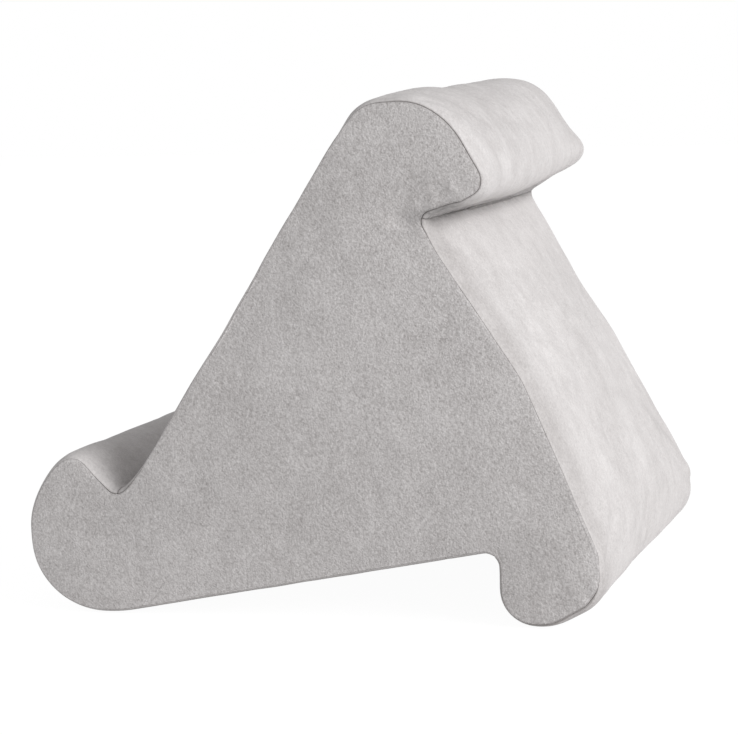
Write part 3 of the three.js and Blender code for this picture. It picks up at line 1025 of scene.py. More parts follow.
    def relax(self) -> None:
        """Lets the skin puff up as cloth under pressure, held at its seams, and keeps part of that."""
        mesh = mesh_of("cover_relaxing", self.points, self.faces)
        obj = bpy.data.objects.new("cover_relaxing", mesh)
        bpy.context.scene.collection.objects.link(obj)
        held = obj.vertex_groups.new(name="held")
        for index, weight in enumerate(self._hold()):
            held.add([index], float(weight), "REPLACE")
        modifier = obj.modifiers.new("cloth", "CLOTH")
        modifier.collision_settings.use_collision = False
        cloth = modifier.settings
        cloth.quality = 5
        cloth.mass = 0.3
        cloth.tension_stiffness = self.tension
        cloth.compression_stiffness = self.tension
        cloth.bending_stiffness = self.bending
        cloth.use_pressure = True
        cloth.uniform_pressure_force = self.pressure
        cloth.vertex_group_mass = "held"
        cloth.pin_stiffness = 1.0
        cloth.effector_weights.gravity = 0
        scene = bpy.context.scene
        for step in range(1, self.settling_steps + 1):
            scene.frame_set(step)
        settled = obj.evaluated_get(bpy.context.evaluated_depsgraph_get()).to_mesh()
        after = np.zeros(len(self.points) * 3)
        settled.vertices.foreach_get("co", after)
        scene.frame_set(1)
        bpy.data.objects.remove(obj)
        bpy.data.meshes.remove(mesh)
        move = after.reshape(-1, 3) - self.points
        length = np.linalg.norm(move, axis=1)
        log.info("cloth moved %.1f mm at most, %.1f mm on average", length.max() / MM, length.mean() / MM)
        limit = self.cap * np.tanh(length / self.cap) / np.maximum(length, 1e-9)
        limit[len(self.stations()) * len(self.profile.outline(0.0)) :] *= self.end_slack
        self.points = self.points + move * limit[:, None]
        self.points[:, 2] = np.maximum(self.points[:, 2], 0)

    def _hold(self) -> np.ndarray:
        """How firmly each point is held while the cloth settles.

        Returns:
            One weight for each point, from 0, free, to 1, pinned.
        """
        count = len(self.profile.outline(0.0))
        rows = len(self.stations())
        hold = np.zeros(len(self.points))
        hold[:count] = 1
        hold[(rows - 1) * count : rows * count] = 1
        for name in CROSS_SEAMS:
            hold[self.profile.layout[1][name] : rows * count : count] = 1
        tucked = self.profile.span("hook_under", "hook_ledge")
        for mark, weight in zip(tucked, np.linspace(self.first_hold, 1, len(tucked))):
            hold[mark : rows * count : count] = weight
        hold[rows * count :] = self.end_hold
        hold = np.maximum(hold, 1 - self._clear_of_zip())
        return np.maximum(hold, self.points[:, 2] < 1 * MM)

    def panel(self, panel: Panel) -> bpy.types.Object:
        """Cuts one panel out of the skin, with its edges turned into the seams.

        Args:
            panel: the panel to cut.

        Returns:
            The panel as an object with a thickness, smooth and with the distance to its seam stored.
        """
        normals = point_normals(self.points, self.faces)
        faces = [f for f, p in zip(self.faces, self.panels) if p is panel]
        used = sorted({v for f in faces for v in f})
        number = {v: k for k, v in enumerate(used)}
        local = [tuple(number[v] for v in f) for f in faces]
        points, n = self.points[used].copy(), normals[used]
        edges = boundary(local)
        rim = sorted({v for e in edges for v in e})
        away = np.zeros_like(points)
        for a, b in edges:
            out = np.cross(points[b] - points[a], n[a] + n[b])
            away[[a, b]] += out / max(float(np.linalg.norm(out)), 1e-12)
        away = away[rim] / np.maximum(np.linalg.norm(away[rim], axis=1), 1e-12)[:, None]
        seam = points[rim].copy()
        open_by = self._openness(seam)[:, None]
        points[rim] = seam - (away + n[rim]) * self.rim_drop * open_by
        position = {v: k for k, v in enumerate(rim)}
        last = {v: v for v in rim}
        for back, down in self.turned_edge:
            start = len(points)
            points = np.concatenate((points, seam - away * back - n[rim] * down))
            row = {v: start + position[v] for v in rim}
            local += [(last[b], last[a], row[a], row[b]) for a, b in edges]
            last = row
        mesh = mesh_of(panel.value, points, local)
        store(mesh, SEAM_DISTANCE, self._seam_distance(points, seam, len(used), len(rim)))
        store(mesh, SEAM_OPENNESS, self._openness(points))
        store(mesh, FOLD_SHADE, self._fold_shade(points))
        obj = bpy.data.objects.new(panel.value, mesh)
        bpy.context.scene.collection.objects.link(obj)
        wall = obj.modifiers.new("thickness", "SOLIDIFY")
        wall.thickness = self.cloth
        wall.offset = -1
        smooth = obj.modifiers.new("smooth", "SUBSURF")
        smooth.levels = smooth.render_levels = 1
        return obj

    @staticmethod
    def _openness(points: np.ndarray) -> np.ndarray:
        """How far the seam gapes: most round the hook, in the front ledge and under the rear foot.

        Args:
            points: points of a panel.

        Returns:
            For each point, 0.2 where the seam is shut and 1 or more where it gapes.
        """
        y, z = points[:, 1], points[:, 2]
        # Besides the gape, this also sets how dark the painted shade in the seam is.
        hook = smooth_step(168 * MM, 186 * MM, z) * smooth_step(22 * MM, 46 * MM, y)
        foot = smooth_step(26 * MM, 10 * MM, z) * smooth_step(90 * MM, 120 * MM, y)
        ledge = smooth_step(22 * MM, 6 * MM, np.hypot(y + 91 * MM, z - 55 * MM))
        return 0.2 + 0.8 * np.clip(hook + foot + ledge, 0, 1) + 0.5 * foot

    def _fold_shade(self, points: np.ndarray) -> np.ndarray:
        """Where shade is painted dark into the cloth: in the groove under the hook and in the front ledge.

        Args:
            points: points of a panel.

        Returns:
            How dark each point is, from 0 to 1.
        """
        # Painted shade, strongest along the groove under the hook and weaker around the front ledge.
        under = distance_to_line(points[:, 1:], self.profile.groove)
        groove = smooth_step(5.5 * MM, 0.5 * MM, under)
        corner = next(np.array(c.at) for c in self.profile.corners if c.name == "ledge")
        ledge = smooth_step(32 * MM, 2 * MM, np.linalg.norm(points[:, 1:] - corner, axis=1))
        return groove + 0.3 * ledge

    def _seam_distance(self, points: np.ndarray, seam: np.ndarray, face_count: int, rim: int) -> np.ndarray:
        """Distance of each point to its panel's seam.

        Args:
            points: the panel's points, its face's first and then the rows of its turned-in edge.
            seam: points of the seam.
            face_count: how many points the face has.
            rim: how many points each turned-in row has.

        Returns:
            The distances, below 0 on the turned-in edge.
        """
        distance = np.array([float(np.linalg.norm(seam - p, axis=1).min()) for p in points])
        distance[face_count : face_count + rim] = -self.turned_edge[0][1]
        distance[face_count + rim :] = -1 * MM
        return distance

    def flat_size(self, panel: Panel) -> tuple[tuple[float, float], float | None]:
        """The size that a panel is cut to.

        Args:
            panel: the panel.

        Returns:
            Width and length of its cut, and its area where the cut isn't a rectangle.
        """
        profile = self.profile
        if panel in WRAPS:
            line = profile.outline(0.0)[profile.span(*WRAPS[panel])]
            length = float(np.linalg.norm(np.diff(line, axis=0), axis=1).sum())
            return (2 * self.seam_x, length), None
        y, z = self.ring(1.0).T
        area = abs(float((y * np.roll(z, -1) - z * np.roll(y, -1)).sum())) / 2
        return (float(np.ptp(y)), float(np.ptp(z))), area

    def dress(self) -> list[bpy.types.Object]:
        """Cuts every panel, gives it its suede and lets it ride on the cushion.

        Returns:
            The six panels.
        """
        ends = Suede(contrast=0.86, painted_shade_strength=0.3)
        wraps = Suede(contrast=0.4, streaks=0.16, painted_shade_strength=0.44, nap_turn=(0.25, 0.0, 0.0))
        # Painted light: the rear face gets a lighter copy of the wraps' suede, and painted shade towards its
        # near end.
        rear = replace(wraps, light=(0.85, 0.824, 0.82), nap_turn=(0.55, 0.0, 0.0), near_edge_shade=0.2)
        suedes = {
            Panel.END_RIGHT: ends,
            Panel.END_LEFT: ends,
            Panel.REAR_FACE: rear,
            Panel.TABLET_FACE: replace(wraps, streaks=0.28),
        }
        made = []
        for panel, node in COVER_NODES.items():
            piece = self.panel(panel)
            piece.data.materials.append(suedes.get(panel, wraps).material(f"suede_{panel.value}"))
            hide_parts(node)
            flat, area = self.flat_size(panel)
            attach(piece, "cushion")
            log.info("%s: cut %.0f x %.0f mm", piece.name, flat[0] / MM, flat[1] / MM)
            made.append(piece)
        return made


def inside(points: np.ndarray, closed: np.ndarray) -> np.ndarray:
    """Which points lie inside a closed outline.

    Args:
        points: the points, (y, z).
        closed: the outline's points, the first again at the end.

    Returns:
        True or False for each point.
    """
    result = np.zeros(len(points), bool)
    y, z = points.T
    for (y0, z0), (y1, z1) in zip(closed[:-1], closed[1:]):
        crosses = (z0 > z) != (z1 > z)
        at = (y1 - y0) * (z - z0) / (z1 - z0 + 1e-18) + y0
        result ^= crosses & (y < at)
    return result


def boundary(faces: Iterable[Sequence[int]]) -> list[tuple[int, int]]:
    """Edges that only one face uses.

    Args:
        faces: the faces, as numbers of points.

    Returns:
        The edges, in the direction in which their face uses them.
    """
    found = {}
    for face in faces:
        for a, b in zip(face, (*face[1:], face[0])):
            if (b, a) in found:
                del found[(b, a)]
            else:
                found[(a, b)] = True
    return list(found)


def mesh_of(name: str, points: np.ndarray, faces: Iterable[Sequence[int]]) -> bpy.types.Mesh:
    """A smooth-shaded mesh.

    Args:
        name: the mesh's name.
        points: its points.
        faces: its faces, as numbers of points.

    Returns:
        The mesh.
    """
    mesh = bpy.data.meshes.new(name)
    mesh.from_pydata([tuple(map(float, p)) for p in points], [], [tuple(f) for f in faces])
    mesh.update()
    mesh.shade_smooth()
    return mesh


def store(mesh: bpy.types.Mesh, name: str, values: np.ndarray) -> None:
    """Stores one number for each point of a mesh."""
    attribute = mesh.attributes.new(name, "FLOAT", "POINT")
    attribute.data.foreach_set("value", values.astype(np.float32))


def placed(name: str, mesh: bpy.types.Mesh, material: bpy.types.Material) -> bpy.types.Object:
    """Puts a mesh in the scene as a piece with one material.

    Args:
        name: the piece's name.
        mesh: its mesh, in the stand's frame.
        material: its only material.

    Returns:
        The piece.
    """
    mesh.materials.clear()
    mesh.materials.append(material)
    obj = bpy.data.objects.new(name, mesh)
    bpy.context.scene.collection.objects.link(obj)
    return obj


# ---- Repeated pieces, by Geometry Nodes ----------------------------------------------------
class GrowTree(Bench):
    """A Geometry Nodes tree with named inputs, which turns a carrier mesh into repeated pieces."""

    def __init__(self, name: str, sizes: dict[str, float]) -> None:
        """Makes the tree and its group inputs.

        Args:
            name: the tree's name.
            sizes: name and first value of each size that the tree takes.
        """
        tree = bpy.data.node_groups.new(name, "GeometryNodeTree")
        super().__init__(tree)
        tree.interface.new_socket("Geometry", in_out="INPUT", socket_type="NodeSocketGeometry")
        for label, value in sizes.items():
            socket = tree.interface.new_socket(label, in_out="INPUT", socket_type="NodeSocketFloat")
            socket.default_value = value
        tree.interface.new_socket("Finish", in_out="INPUT", socket_type="NodeSocketMaterial")
        tree.interface.new_socket("Geometry", in_out="OUTPUT", socket_type="NodeSocketGeometry")
        outputs = self.node("NodeGroupInput", {}, {})
        self.inputs = {out.socket.name: out for out in outputs if out.socket.name}

    def close(self, geometry: Signal) -> None:
        """Ends the tree: instances made real, smooth and given the finish.

        Args:
            geometry: what the tree has made.
        """
        real = self.node("GeometryNodeRealizeInstances", {}, {"Geometry": geometry})[0]
        smooth = self.node("GeometryNodeSetShadeSmooth", {}, {"Geometry": real})[0]
        values = {"Geometry": smooth, "Material": self.inputs["Finish"]}
        dressed = self.node("GeometryNodeSetMaterial", {}, values)[0]
        self.node("NodeGroupOutput", {}, {"Geometry": dressed})

    def grow(self, name: str, carrier: bpy.types.Mesh, sizes: dict[str, float],
             finish: bpy.types.Material) -> bpy.types.Object:
        """Runs the tree on a carrier mesh and keeps the result as a plain piece.

        Args:
            name: name of the piece.
            carrier: the mesh that the tree works on.
            sizes: values for the tree's inputs, by name.
            finish: the piece's material.

        Returns:
            The piece, with no modifier left on it.
        """
        holder = bpy.data.objects.new(name + "_carrier", carrier)
        bpy.context.scene.collection.objects.link(holder)
        modifier = holder.modifiers.new("grow", "NODES")
        modifier.node_group = self.tree
        for item in self.tree.interface.items_tree:
            if item.in_out == "INPUT" and item.name in sizes:
                modifier[item.identifier] = float(sizes[item.name])
            elif item.in_out == "INPUT" and item.name == "Finish":
                modifier[item.identifier] = finish
        graph = bpy.context.evaluated_depsgraph_get()
        mesh = bpy.data.meshes.new_from_object(holder.evaluated_get(graph))
        bpy.data.objects.remove(holder)
        bpy.data.meshes.remove(carrier)
        mesh.name = name
        return placed(name, mesh, finish)


def stitch_tree() -> GrowTree:
    """Stitches along a line: one capsule for each pitch, lying along the line.

    Returns:
        The tree.
    """
    tree = GrowTree("stitches", {"Pitch": 3 * MM, "Length": 2.4 * MM, "Radius": 0.3 * MM})
    size = tree.inputs
    line = tree.node("GeometryNodeMeshToCurve", {}, {0: size["Geometry"]})[0]
    values = {"Curve": line, "Length": size["Pitch"]}
    spots = tree.node("GeometryNodeCurveToPoints", {"mode": "LENGTH"}, values)
    ball = tree.node("GeometryNodeMeshUVSphere", {}, {"Segments": 6, "Rings": 5, "Radius": 1.0})[0]
    half = size["Length"] * 0.5
    shape = tree.node("ShaderNodeCombineXYZ", {}, {0: size["Radius"], 1: size["Radius"], 2: half})[0]
    values = {"Points": spots[0], "Instance": ball, "Rotation": spots[3], "Scale": shape}
    tree.close(tree.node("GeometryNodeInstanceOnPoints", {}, values)[0])
    return tree


def coil_tree() -> GrowTree:
    """A flattened spiral of wire along X, from the origin.

    Returns:
        The tree.
    """
    sizes = {"Pitch": 1.5 * MM, "Length": 0.2, "Width": 3 * MM, "Height": 2.2 * MM, "Wire": 0.33 * MM}
    tree = GrowTree("coil", sizes)
    size = tree.inputs
    turns = size["Length"] / size["Pitch"]
    values = {"Resolution": 12, "Rotations": turns, "Start Radius": 1.0, "End Radius": 1.0}
    values["Height"] = size["Length"]
    spiral = tree.node("GeometryNodeCurveSpiral", {}, values)[0]
    halves = {0: size["Height"] * 0.5, 1: size["Width"] * 0.5, 2: 1.0}
    section = tree.node("ShaderNodeCombineXYZ", {}, halves)[0]
    flat = tree.node("GeometryNodeTransform", {}, {"Geometry": spiral, "Scale": section})[0]
    laid = tree.node("GeometryNodeTransform", {}, {"Geometry": flat, "Rotation": (0, math.pi / 2, 0)})[0]
    ring = tree.node("GeometryNodeCurvePrimitiveCircle", {}, {"Resolution": 7, "Radius": size["Wire"]})[0]
    wire = {"Curve": laid, "Profile Curve": ring, "Fill Caps": True}
    tree.close(tree.node("GeometryNodeCurveToMesh", {}, wire)[0])
    return tree


def line_mesh(points: np.ndarray, closed: bool = False) -> bpy.types.Mesh:
    """A mesh of edges through the points.

    Args:
        points: the points, in order.
        closed: whether the last point joins the first.

    Returns:
        The mesh.
    """
    mesh = bpy.data.meshes.new("line")
    edges = [(k, k + 1) for k in range(len(points) - 1)]
    if closed:
        edges.append((len(points) - 1, 0))
    mesh.from_pydata([tuple(map(float, p)) for p in points], edges, [])
    return mesh


@dataclass
class SeamStitching:
    """The thread that shows in the seams, as separate stitches."""

    cover: Cover
    tree: GrowTree
    finish: bpy.types.Material
    pitch: float = 3.2 * MM
    length: float = 2.6 * MM
    radius: float = 0.28 * MM
    sunk: float = 1.15 * MM

    def build(self) -> list[bpy.types.Object]:
        """Makes the stitches of the two end seams and of the three cross seams.

        Returns:
            One piece for each seam.
        """
        cover, profile = self.cover, self.cover.profile
        normals = point_normals(cover.points, cover.faces)
        sunk = cover.points - normals * self.sunk
        count, rows = len(profile.outline(0.0)), len(cover.stations())
        sizes = {"Pitch": self.pitch, "Length": self.length, "Radius": self.radius}
        made = []
        for side, row in (("right", rows - 1), ("left", 0)):
            line = line_mesh(sunk[row * count : (row + 1) * count], closed=True)
            piece = self.tree.grow(f"end_seam_stitches_{side}", line, sizes, self.finish)
            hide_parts(f"seam_thread_{side}")
            made.append(piece)
        ends = cover.border_steps - 2
        for corner in CROSS_SEAMS:
            name = corner.split("_")[0]
            across = sunk[profile.layout[1][corner] : rows * count : count][ends:-ends]
            piece = self.tree.grow(f"{name}_seam_stitches", line_mesh(across), sizes, self.finish)
            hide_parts(f"{name}_seam_thread")
            made.append(piece)
        for piece in made:
            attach(piece, "cushion")
            log.info("%s: %d faces", piece.name, len(piece.data.polygons))
        return made


# ---- Foam ---------------------------------------------------------------------------------
@dataclass
class FoamBlock:
    """The block of foam inside the cover, with a channel behind the zip."""

    cover: Cover
    gap: float = 0.7 * MM
    seam_relief: float = 1.6
    channel_half: float = 15.3 * MM
    channel_depth: float = 4.7 * MM

    def _inwards(self) -> np.ndarray:
        """Which way each point of the skin moves in.

        Returns:
            The skin's normals turned round, and one shared direction beside each cross seam, where the
            two sides of the fold face each other.
        """
        cover = self.cover
        inwards = -point_normals(cover.points, cover.faces)
        corners = cover.profile.corners
        for before, corner, after in zip(corners[-1:] + corners[:-1], corners, corners[1:] + corners[:1]):
            if corner.name in CROSS_SEAMS:
                at = np.array(corner.at)
                sides = [unit(np.array(c.at) - at) for c in (before, after)]
                shared = unit(-sides[0] - sides[1]) * self.seam_relief
                near = smooth_step(9 * MM, 3 * MM, np.linalg.norm(cover.points[:, 1:] - at, axis=1))
                inwards[:, 1:] += (shared - inwards[:, 1:]) * near[:, None]
        return inwards

    def build(self) -> bpy.types.Object:
        """Makes the block from the cover's own skin, moved in by the cloth and a gap.

        Returns:
            The block.
        """
        cover = self.cover
        points = cover.points + self._inwards() * (cover.cloth + self.gap)
        seat, along = cover.profile.zip_seat
        across = np.abs((points[:, 1:] - seat) @ along)
        deep = (points[:, 1:] - seat) @ inward(along)
        beside = 1 - smooth_step(self.channel_half - 0.5 * MM, self.channel_half + 1.5 * MM, across)
        under = (deep < self.channel_depth) * beside
        points[:, 1:] += (np.clip(self.channel_depth - deep, 0, None) * under)[:, None] * inward(along)
        mesh = mesh_of("foam_block", points, cover.faces)
        block = placed("foam_block", mesh, OpenCellFoam().material("open_cell_foam"))
        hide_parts("foam_core")
        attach(block, "cushion")
        log.info("%s: %d faces", block.name, len(block.data.polygons))
        return block


# ---- Zip ----------------------------------------------------------------------------------
@dataclass
class ZipPlace:
    """The zip's own frame: x along it, y towards the lip, z out of the underside."""

    profile: Profile

    @property
    def matrix(self) -> Matrix:
        """The zip's frame in the stand's.

        Returns:
            The matrix that turns a point of the zip's frame into one of the stand's.
        """
        seat, along = self.profile.zip_seat
        out = -inward(along)
        rows = ((1, 0, 0), (0, along[0], along[1]), (0, out[0], out[1]))
        turn = Matrix(rows).transposed().to_4x4()
        return Matrix.Translation((0, seat[0], seat[1])) @ turn

    def span(self, node: str) -> tuple[Vector, Vector]:
        """A CAD node's box in the zip's frame.

        Args:
            node: the node's name.

        Returns:
            Its lowest and its highest corner.
        """
        back = self.matrix.inverted()
        points = [back @ v.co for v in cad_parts[node].data.vertices]
        low = Vector(min(p[k] for p in points) for k in range(3))
        high = Vector(max(p[k] for p in points) for k in range(3))
        return low, high


@dataclass
class ZipFastener:
    """The zip: two woven tapes, two nylon spirals, stops, slider, pull tab, stitching and label."""

    place: ZipPlace
    stitches: GrowTree
    thread: bpy.types.Material
    coil_pitch: float = 1.5 * MM
    wire: float = 0.34 * MM
    mesh_overlap: float = 0.55 * MM
    edge_round: float = 0.28 * MM
    label_caught: float = 2 * MM
    stitch_reach: float = 106 * MM

    def build(self) -> list[bpy.types.Object]:
        """Makes every piece of the zip and lets each ride on its body.

        Returns:
            The pieces.
        """
        made = [*self._tapes(), *self._coils(), *self._castings(), *self._topstitching(), self._label()]
        for piece in made:
            log.info("%s: %d faces", piece.name, len(piece.data.polygons))
        return made

    def _tapes(self) -> list[bpy.types.Object]:
        """Two woven tapes.

        Returns:
            The front tape and the rear one.
        """
        finish = WovenTape().material("zip_tape_weave")
        made = []
        for row in ("front", "rear"):
            low, high = self.place.span(f"zip_tape_{row}")
            mesh = strip_mesh(low, high, 0.4 * MM)
            mesh.transform(self.place.matrix)
            tape = placed(f"zip_tape_{row}_woven", mesh, finish)
            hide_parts(f"zip_tape_{row}")
            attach(tape, "cushion")
            made.append(tape)
        return made

    def _coils(self) -> list[bpy.types.Object]:
        """Two spirals whose loops mesh along the middle.

        Returns:
            The front spiral and the rear one.
        """
        tree = coil_tree()
        finish = Nylon().material("nylon_wire")
        made = []
        for row, side in (("front", 1), ("rear", -1)):
            low, high = self.place.span(f"zip_coil_{row}")
            outer = high.y if side > 0 else -low.y
            width = outer + self.mesh_overlap - self.wire
            sizes = {
                "Pitch": self.coil_pitch,
                "Length": high.x - low.x - self.coil_pitch,
                "Width": width - self.wire,
                "Height": high.z - low.z - 2 * self.wire,
                "Wire": self.wire,
            }
            coil = tree.grow(f"zip_coil_{row}_spiral", line_mesh(np.zeros((2, 3))), sizes, finish)
            start = low.x + self.coil_pitch * (0.25 if side > 0 else 0.75)
            middle = side * (outer - self.wire - (width - self.wire) / 2)
            shift = Matrix.Translation((start, middle, (low.z + high.z) / 2))
            coil.data.transform(self.place.matrix @ shift)
            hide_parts(f"zip_coil_{row}")
            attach(coil, "cushion")
            made.append(coil)
        return made

    def _castings(self) -> list[bpy.types.Object]:
        """Slider, pull tab and stops, with their edges rounded.

        Returns:
            The five castings.
        """
        finish = LacqueredZinc().material("lacquered_zinc")
        bodies = {
            "zip_slider": "slider",
            "zip_pull_tab": "pull_tab",
            "zip_top_stop_front": "cushion",
            "zip_top_stop_rear": "cushion",
            "zip_bottom_stop": "cushion",
        }
        made = []
        for node, body in bodies.items():
            piece = placed(f"{node}_casting", rounded_copy(node), finish)
            bevel = piece.modifiers.new("edges", "BEVEL")
            bevel.width = self.edge_round
            bevel.segments = 3
            bevel.limit_method = "ANGLE"
            bevel.harden_normals = False
            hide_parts(node)
            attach(piece, body)
            made.append(piece)
        return made

    def _topstitching(self) -> list[bpy.types.Object]:
        """The two rows of stitches that hold the tapes.

        Returns:
            The front row and the rear one.
        """
        sizes = {"Pitch": 3.2 * MM, "Length": 2.7 * MM, "Radius": 0.26 * MM}
        made = []
        for row in ("front", "rear"):
            low, high = self.place.span(f"zip_stitch_{row}")
            y = (low.y + high.y) / 2
            reach = min(high.x, self.stitch_reach)
            ends = np.array([(-reach, y, 0.1 * MM), (reach, y, 0.1 * MM)])
            line = line_mesh(ends)
            line.transform(self.place.matrix)
            piece = self.stitches.grow(f"zip_topstitch_{row}", line, sizes, self.thread)
            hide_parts(f"zip_stitch_{row}")
            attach(piece, "cushion")
            made.append(piece)
        return made

    def _label(self) -> bpy.types.Object:
        """The blank care label, a short ribbon under the rear tape.

        Returns:
            The label.
        """
        low, high = self.place.span("care_label")
        mesh = strip_mesh(low, high, 0.12 * MM)
        mesh.transform(self.place.matrix)
        finish = WovenTape(colour=(0.86, 0.86, 0.84), rib=0.3 * MM, gloss=0.35)
        label = placed("care_label_ribbon", mesh, finish.material("satin_ribbon"))
        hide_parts("care_label")
        cut = high.y - low.y + self.label_caught
        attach(label, "cushion")
        return label


def strip_mesh(low: Vector, high: Vector, wave: float) -> bpy.types.Mesh:
    """A thin closed strip with rounded long edges and a slight ripple along X.

    Args:
        low: lowest corner of its box.
        high: highest corner of its box.
        wave: how much thinner the strip is than its box, which the ripple takes up.

    Returns:
        The strip's mesh.
    """
    middle = (low.z + high.z) / 2
    half = (high.z - low.z) / 2
    thin = half - min(wave, half) / 2
    steps = max(8, round((high.x - low.x) / (3 * MM)))
    inset = thin * 0.7
    section = [(low.y, 0), (low.y + inset, 1), (high.y - inset, 1), (high.y, 0)]
    section += [(y, -h) for y, h in reversed(section[1:3])]
    points, faces = [], []
    for k in range(steps + 1):
        x = low.x + (high.x - low.x) * k / steps
        lift = (half - thin) * math.sin(x / (9 * MM))
        points += [(x, y, middle + lift + h * thin) for y, h in section]
    size = len(section)
    for k in range(steps):
        for j in range(size):
            a, b = k * size + j, k * size + (j + 1) % size
            faces.append((a, b, b + size, a + size))
    faces.append(tuple(range(size))[::-1])
    faces.append(tuple(range(steps * size, (steps + 1) * size)))
    mesh = mesh_of("strip", np.array(points), faces)
    return outward(mesh)


def outward(mesh: bpy.types.Mesh) -> bpy.types.Mesh:
    """Turns a closed mesh's faces outwards.

    Args:
        mesh: the mesh, which is changed.

    Returns:
        The same mesh.
    """
    work = bmesh.new()
    work.from_mesh(mesh)
    bmesh.ops.recalc_face_normals(work, faces=work.faces)
    work.to_mesh(mesh)
    work.free()
    return mesh


def rounded_copy(node: str) -> bpy.types.Mesh:
    """A copy of a CAD node's mesh with its points merged and its flat faces joined.

    Args:
        node: the node's name.

    Returns:
        The new mesh.
    """
    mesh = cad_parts[node].data.copy()
    work = bmesh.new()
    work.from_mesh(mesh)
    bmesh.ops.remove_doubles(work, verts=work.verts, dist=0.01 * MM)
    bmesh.ops.dissolve_limit(work, angle_limit=1 * DEGREE, verts=work.verts, edges=work.edges)
    work.to_mesh(mesh)
    work.free()
    mesh.shade_smooth()
    return mesh


# ---- Studio -------------------------------------------------------------------------------
@dataclass(frozen=True)
class Lamp:
    """A soft rectangular lamp, aimed at the stand."""

    name: str
    place: tuple[float, float, float]
    size: float
    power: float
    colour: Colour = (1.0, 1.0, 1.0)


@dataclass
class Studio:
    """Plain pale floor, soft light and the camera."""

    camera_place: tuple[float, float, float] = (1139.5 * MM, 327.25 * MM, 248.9 * MM)
    azimuth: float = 106.146 * DEGREE
    elevation: float = 7.052 * DEGREE
    roll: float = -1.698 * DEGREE
    lens: float = 117.07
    surround: float = 0.48
    backdrop: float = 1.0
    floor_reach: float = 6.0
    floor_glow: float = 1.07
    floor_glow_share: float = 0.9
    aim: tuple[float, float, float] = (0.0, 0.0, 0.1)
    lamps: Sequence[Lamp] = (Lamp("key", (1.12, 3.1, 1.6), 2.0, 99.0),)

    def build(self) -> None:
        """Makes the world, floor, lamps and camera."""
        scene = bpy.context.scene
        scene.view_settings.view_transform = "Standard"
        self._world(scene)
        self._floor()
        for lamp in self.lamps:
            self._lamp(scene, lamp)
        self._camera(scene)

    def _world(self, scene: bpy.types.Scene) -> None:
        """A pale surround, which the camera sees as white.

        Args:
            scene: the scene.
        """
        world = bpy.data.worlds.new("studio")
        world.use_nodes = True
        scene.world = world
        bench = Bench(world.node_tree)
        world.node_tree.nodes.clear()
        seen = bench.node("ShaderNodeLightPath", {}, {})[0]
        strength = seen * (self.backdrop - self.surround) + self.surround
        glow = bench.node("ShaderNodeBackground", {}, {"Color": (1, 1, 1, 1), "Strength": strength})[0]
        bench.node("ShaderNodeOutputWorld", {}, {"Surface": glow})

    def _floor(self) -> None:
        """A wide pale floor that hardly shows shadows."""
        reach = self.floor_reach
        corners = np.array([(-reach, -reach, 0), (reach, -reach, 0), (reach, reach, 0), (-reach, reach, 0)])
        surface = Surface("pale_floor")
        white = {"Color": (1, 1, 1, 1), "Strength": self.floor_glow}
        glow = surface.node("ShaderNodeEmission", {}, white)[0]
        paint = surface.node("ShaderNodeBsdfDiffuse", {}, {"Color": (0.86, 0.86, 0.86, 1)})[0]
        seen = surface.node("ShaderNodeLightPath", {}, {})[0]
        share = seen * self.floor_glow_share
        both = surface.node("ShaderNodeMixShader", {}, {0: share, 1: paint, 2: glow})[0]
        surface.node("ShaderNodeOutputMaterial", {}, {"Surface": both})
        floor = placed("floor", mesh_of("floor", corners, [(0, 1, 2, 3)]), surface.material)

    def _lamp(self, scene: bpy.types.Scene, lamp: Lamp) -> None:
        """Adds one lamp.

        Args:
            scene: the scene.
            lamp: the lamp's place, size and power.
        """
        data = bpy.data.lights.new(lamp.name, "AREA")
        data.shape = "SQUARE"
        data.size = lamp.size
        data.energy = lamp.power
        data.color = lamp.colour
        obj = bpy.data.objects.new(lamp.name, data)
        obj.location = lamp.place
        aim = Vector(self.aim) - Vector(lamp.place)
        obj.rotation_mode = "QUATERNION"
        obj.rotation_quaternion = aim.to_track_quat("-Z", "Y")
        scene.collection.objects.link(obj)

    def _camera(self, scene: bpy.types.Scene) -> None:
        """A long lens, low and a little behind the right end panel.

        Args:
            scene: the scene.
        """
        data = bpy.data.cameras.new("camera")
        data.lens = self.lens
        data.clip_start, data.clip_end = 0.05, 30
        camera = bpy.data.objects.new("camera", data)
        a, e = self.azimuth, self.elevation
        back = Vector((math.sin(a) * math.cos(e), -math.cos(a) * math.cos(e), math.sin(e)))
        turn = (-back).to_track_quat("-Z", "Y").to_matrix() @ Matrix.Rotation(self.roll, 3, "Z")
        camera.matrix_world = Matrix.Translation(self.camera_place) @ turn.to_4x4()
        scene.collection.objects.link(camera)
        scene.camera = camera


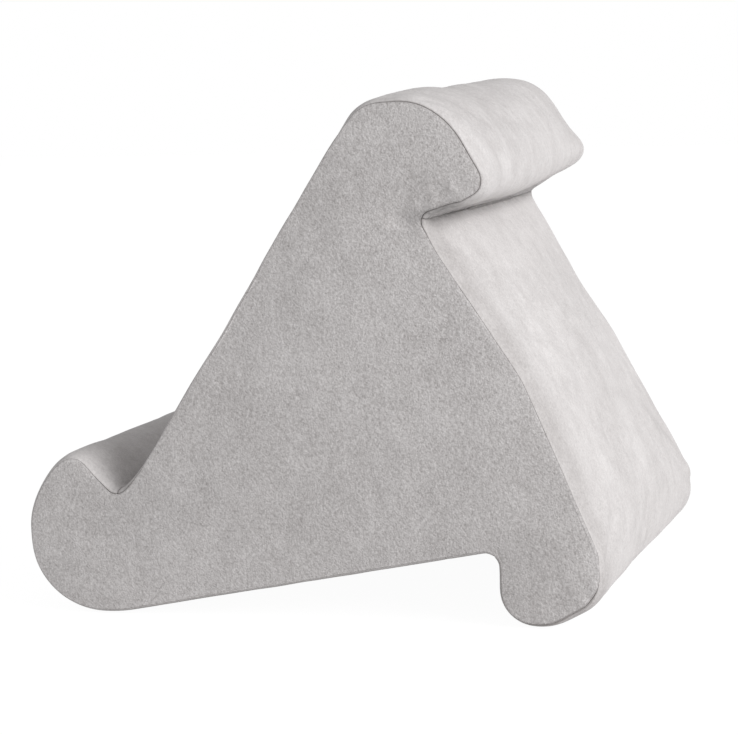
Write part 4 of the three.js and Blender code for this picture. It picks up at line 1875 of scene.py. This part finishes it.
# ---- Assembly -----------------------------------------------------------------------------
# Where the stuffing stands out or falls in: centre and reach in millimetres, then the height.
SWELLS = (
    Swell((118, -128, 42), (70, 38, 42), 2.2 * MM, (0, -1, 0.2)),
    Swell((-120, 96, 128), (75, 42, 38), -5.0 * MM, (0, 0.84, 0.54)),
    Swell((-120, 138, 32), (80, 32, 32), 5.6 * MM, (0, 1, 0)),
    Swell((-120, 80, 222), (60, 22, 22), -3.4 * MM, (0, 1, 0.2)),
    Swell((-116, 86, 200), (24, 10, 10), 2.6 * MM, (0, 1, -0.15)),
    Swell((116, 30, 236), (34, 20, 20), -2.0 * MM, (0, -0.4, 1)),
    Swell((58, 44, 240), (17, 26, 14), 0.9 * MM, (0, 0, 1)),
    Swell((28, 46, 240), (15, 26, 14), -0.8 * MM, (0, 0, 1)),
    Swell((118, -125, 75), (60, 13, 10), 2.0 * MM, (0, -0.6, 0.8)),
    Swell((120, 48, 183), (8, 6, 4.5), -1.9 * MM, (1, 0, 0)),
    Swell((116, 69, 184), (10, 9, 5), 1.2 * MM, (1, 0, 0)),
    Swell((116, 87, 195), (20, 9, 9), 2.6 * MM, (0, 0.85, -0.5)),
    Swell((70, 62, 176), (30, 10, 8), 1.0 * MM, (0, 0.7, 0.7)),
    Swell((114, -91, 56), (16, 11, 10), 2.2 * MM, (0, -0.4, 1)),
    Swell((-20, -117, 77), (150, 16, 14), 1.2 * MM, (0, -0.3, 1)),
)
# Folds in the cloth: the line in millimetres, then depth and width.
CREASES = (
    Crease(((110, 59, 236), (98, 70, 231), (84, 78, 222)), 0.8 * MM, 3 * MM),
    Crease(((86, 46, 239), (78, 62, 235), (74, 74, 226)), 0.7 * MM, 4.5 * MM),
    Crease(((34, 42, 239), (26, 60, 235), (30, 74, 225)), 1.0 * MM, 6.5 * MM),
    Crease(((-12, 58, 238), (5, 68, 231), (11, 75, 224)), 0.9 * MM, 6 * MM),
    Crease(((-70, 40, 242), (-62, 62, 238), (-66, 76, 226)), 1.0 * MM, 8 * MM),
    Crease(((119, 57, 182), (119, 58, 191)), 1.3 * MM, 2.4 * MM),
    Crease(((119, 44, 183), (119, 56, 182)), 0.9 * MM, 2.6 * MM),
    Crease(((119, 65, 196), (118, 70, 189)), 0.9 * MM, 2.6 * MM),
    Crease(((119, 75, 199), (118, 78, 191)), 0.7 * MM, 2.6 * MM),
    Crease(((120, 122, 26), (118, 130, 15)), 0.8 * MM, 2.4 * MM),
    Crease(((110, 60, 178), (96, 66, 168)), 0.6 * MM, 3 * MM),
    Crease(((84, 59, 180), (74, 66, 168)), 0.5 * MM, 4 * MM),
    Crease(((40, 92, 122), (36, 118, 66)), 0.8 * MM, 14 * MM),
    Crease(((-52, 84, 140), (-46, 122, 62)), 0.8 * MM, 16 * MM),
)


def sewn_cover(width: float, profile: Profile) -> Cover:
    """The cover at its full size: filled, settled and creased.

    Args:
        width: width of the stand.
        profile: its side profile.

    Returns:
        The cover, ready to be cut into its panels.
    """
    cover = Cover(profile, width, creases=CREASES, swells=SWELLS)
    cover.build()
    cover.relax()
    cover.soften()
    return cover


def main() -> None:
    """Builds the stand, dresses it and sets up the studio."""
    logging.basicConfig(level=logging.INFO, format="%(message)s")
    low, high = CAD_BOX
    profile = Profile(depth=high.y - low.y, height=high.z - low.z)
    Studio().build()
    cover = sewn_cover(high.x - low.x, profile)
    cover.dress()
    FoamBlock(cover).build()
    thread = TwistedThread().material("sewing_thread")
    stitches = stitch_tree()
    SeamStitching(cover, stitches, thread).build()
    ZipFastener(ZipPlace(profile), stitches, thread).build()


if __name__ == "__main__":
    main()
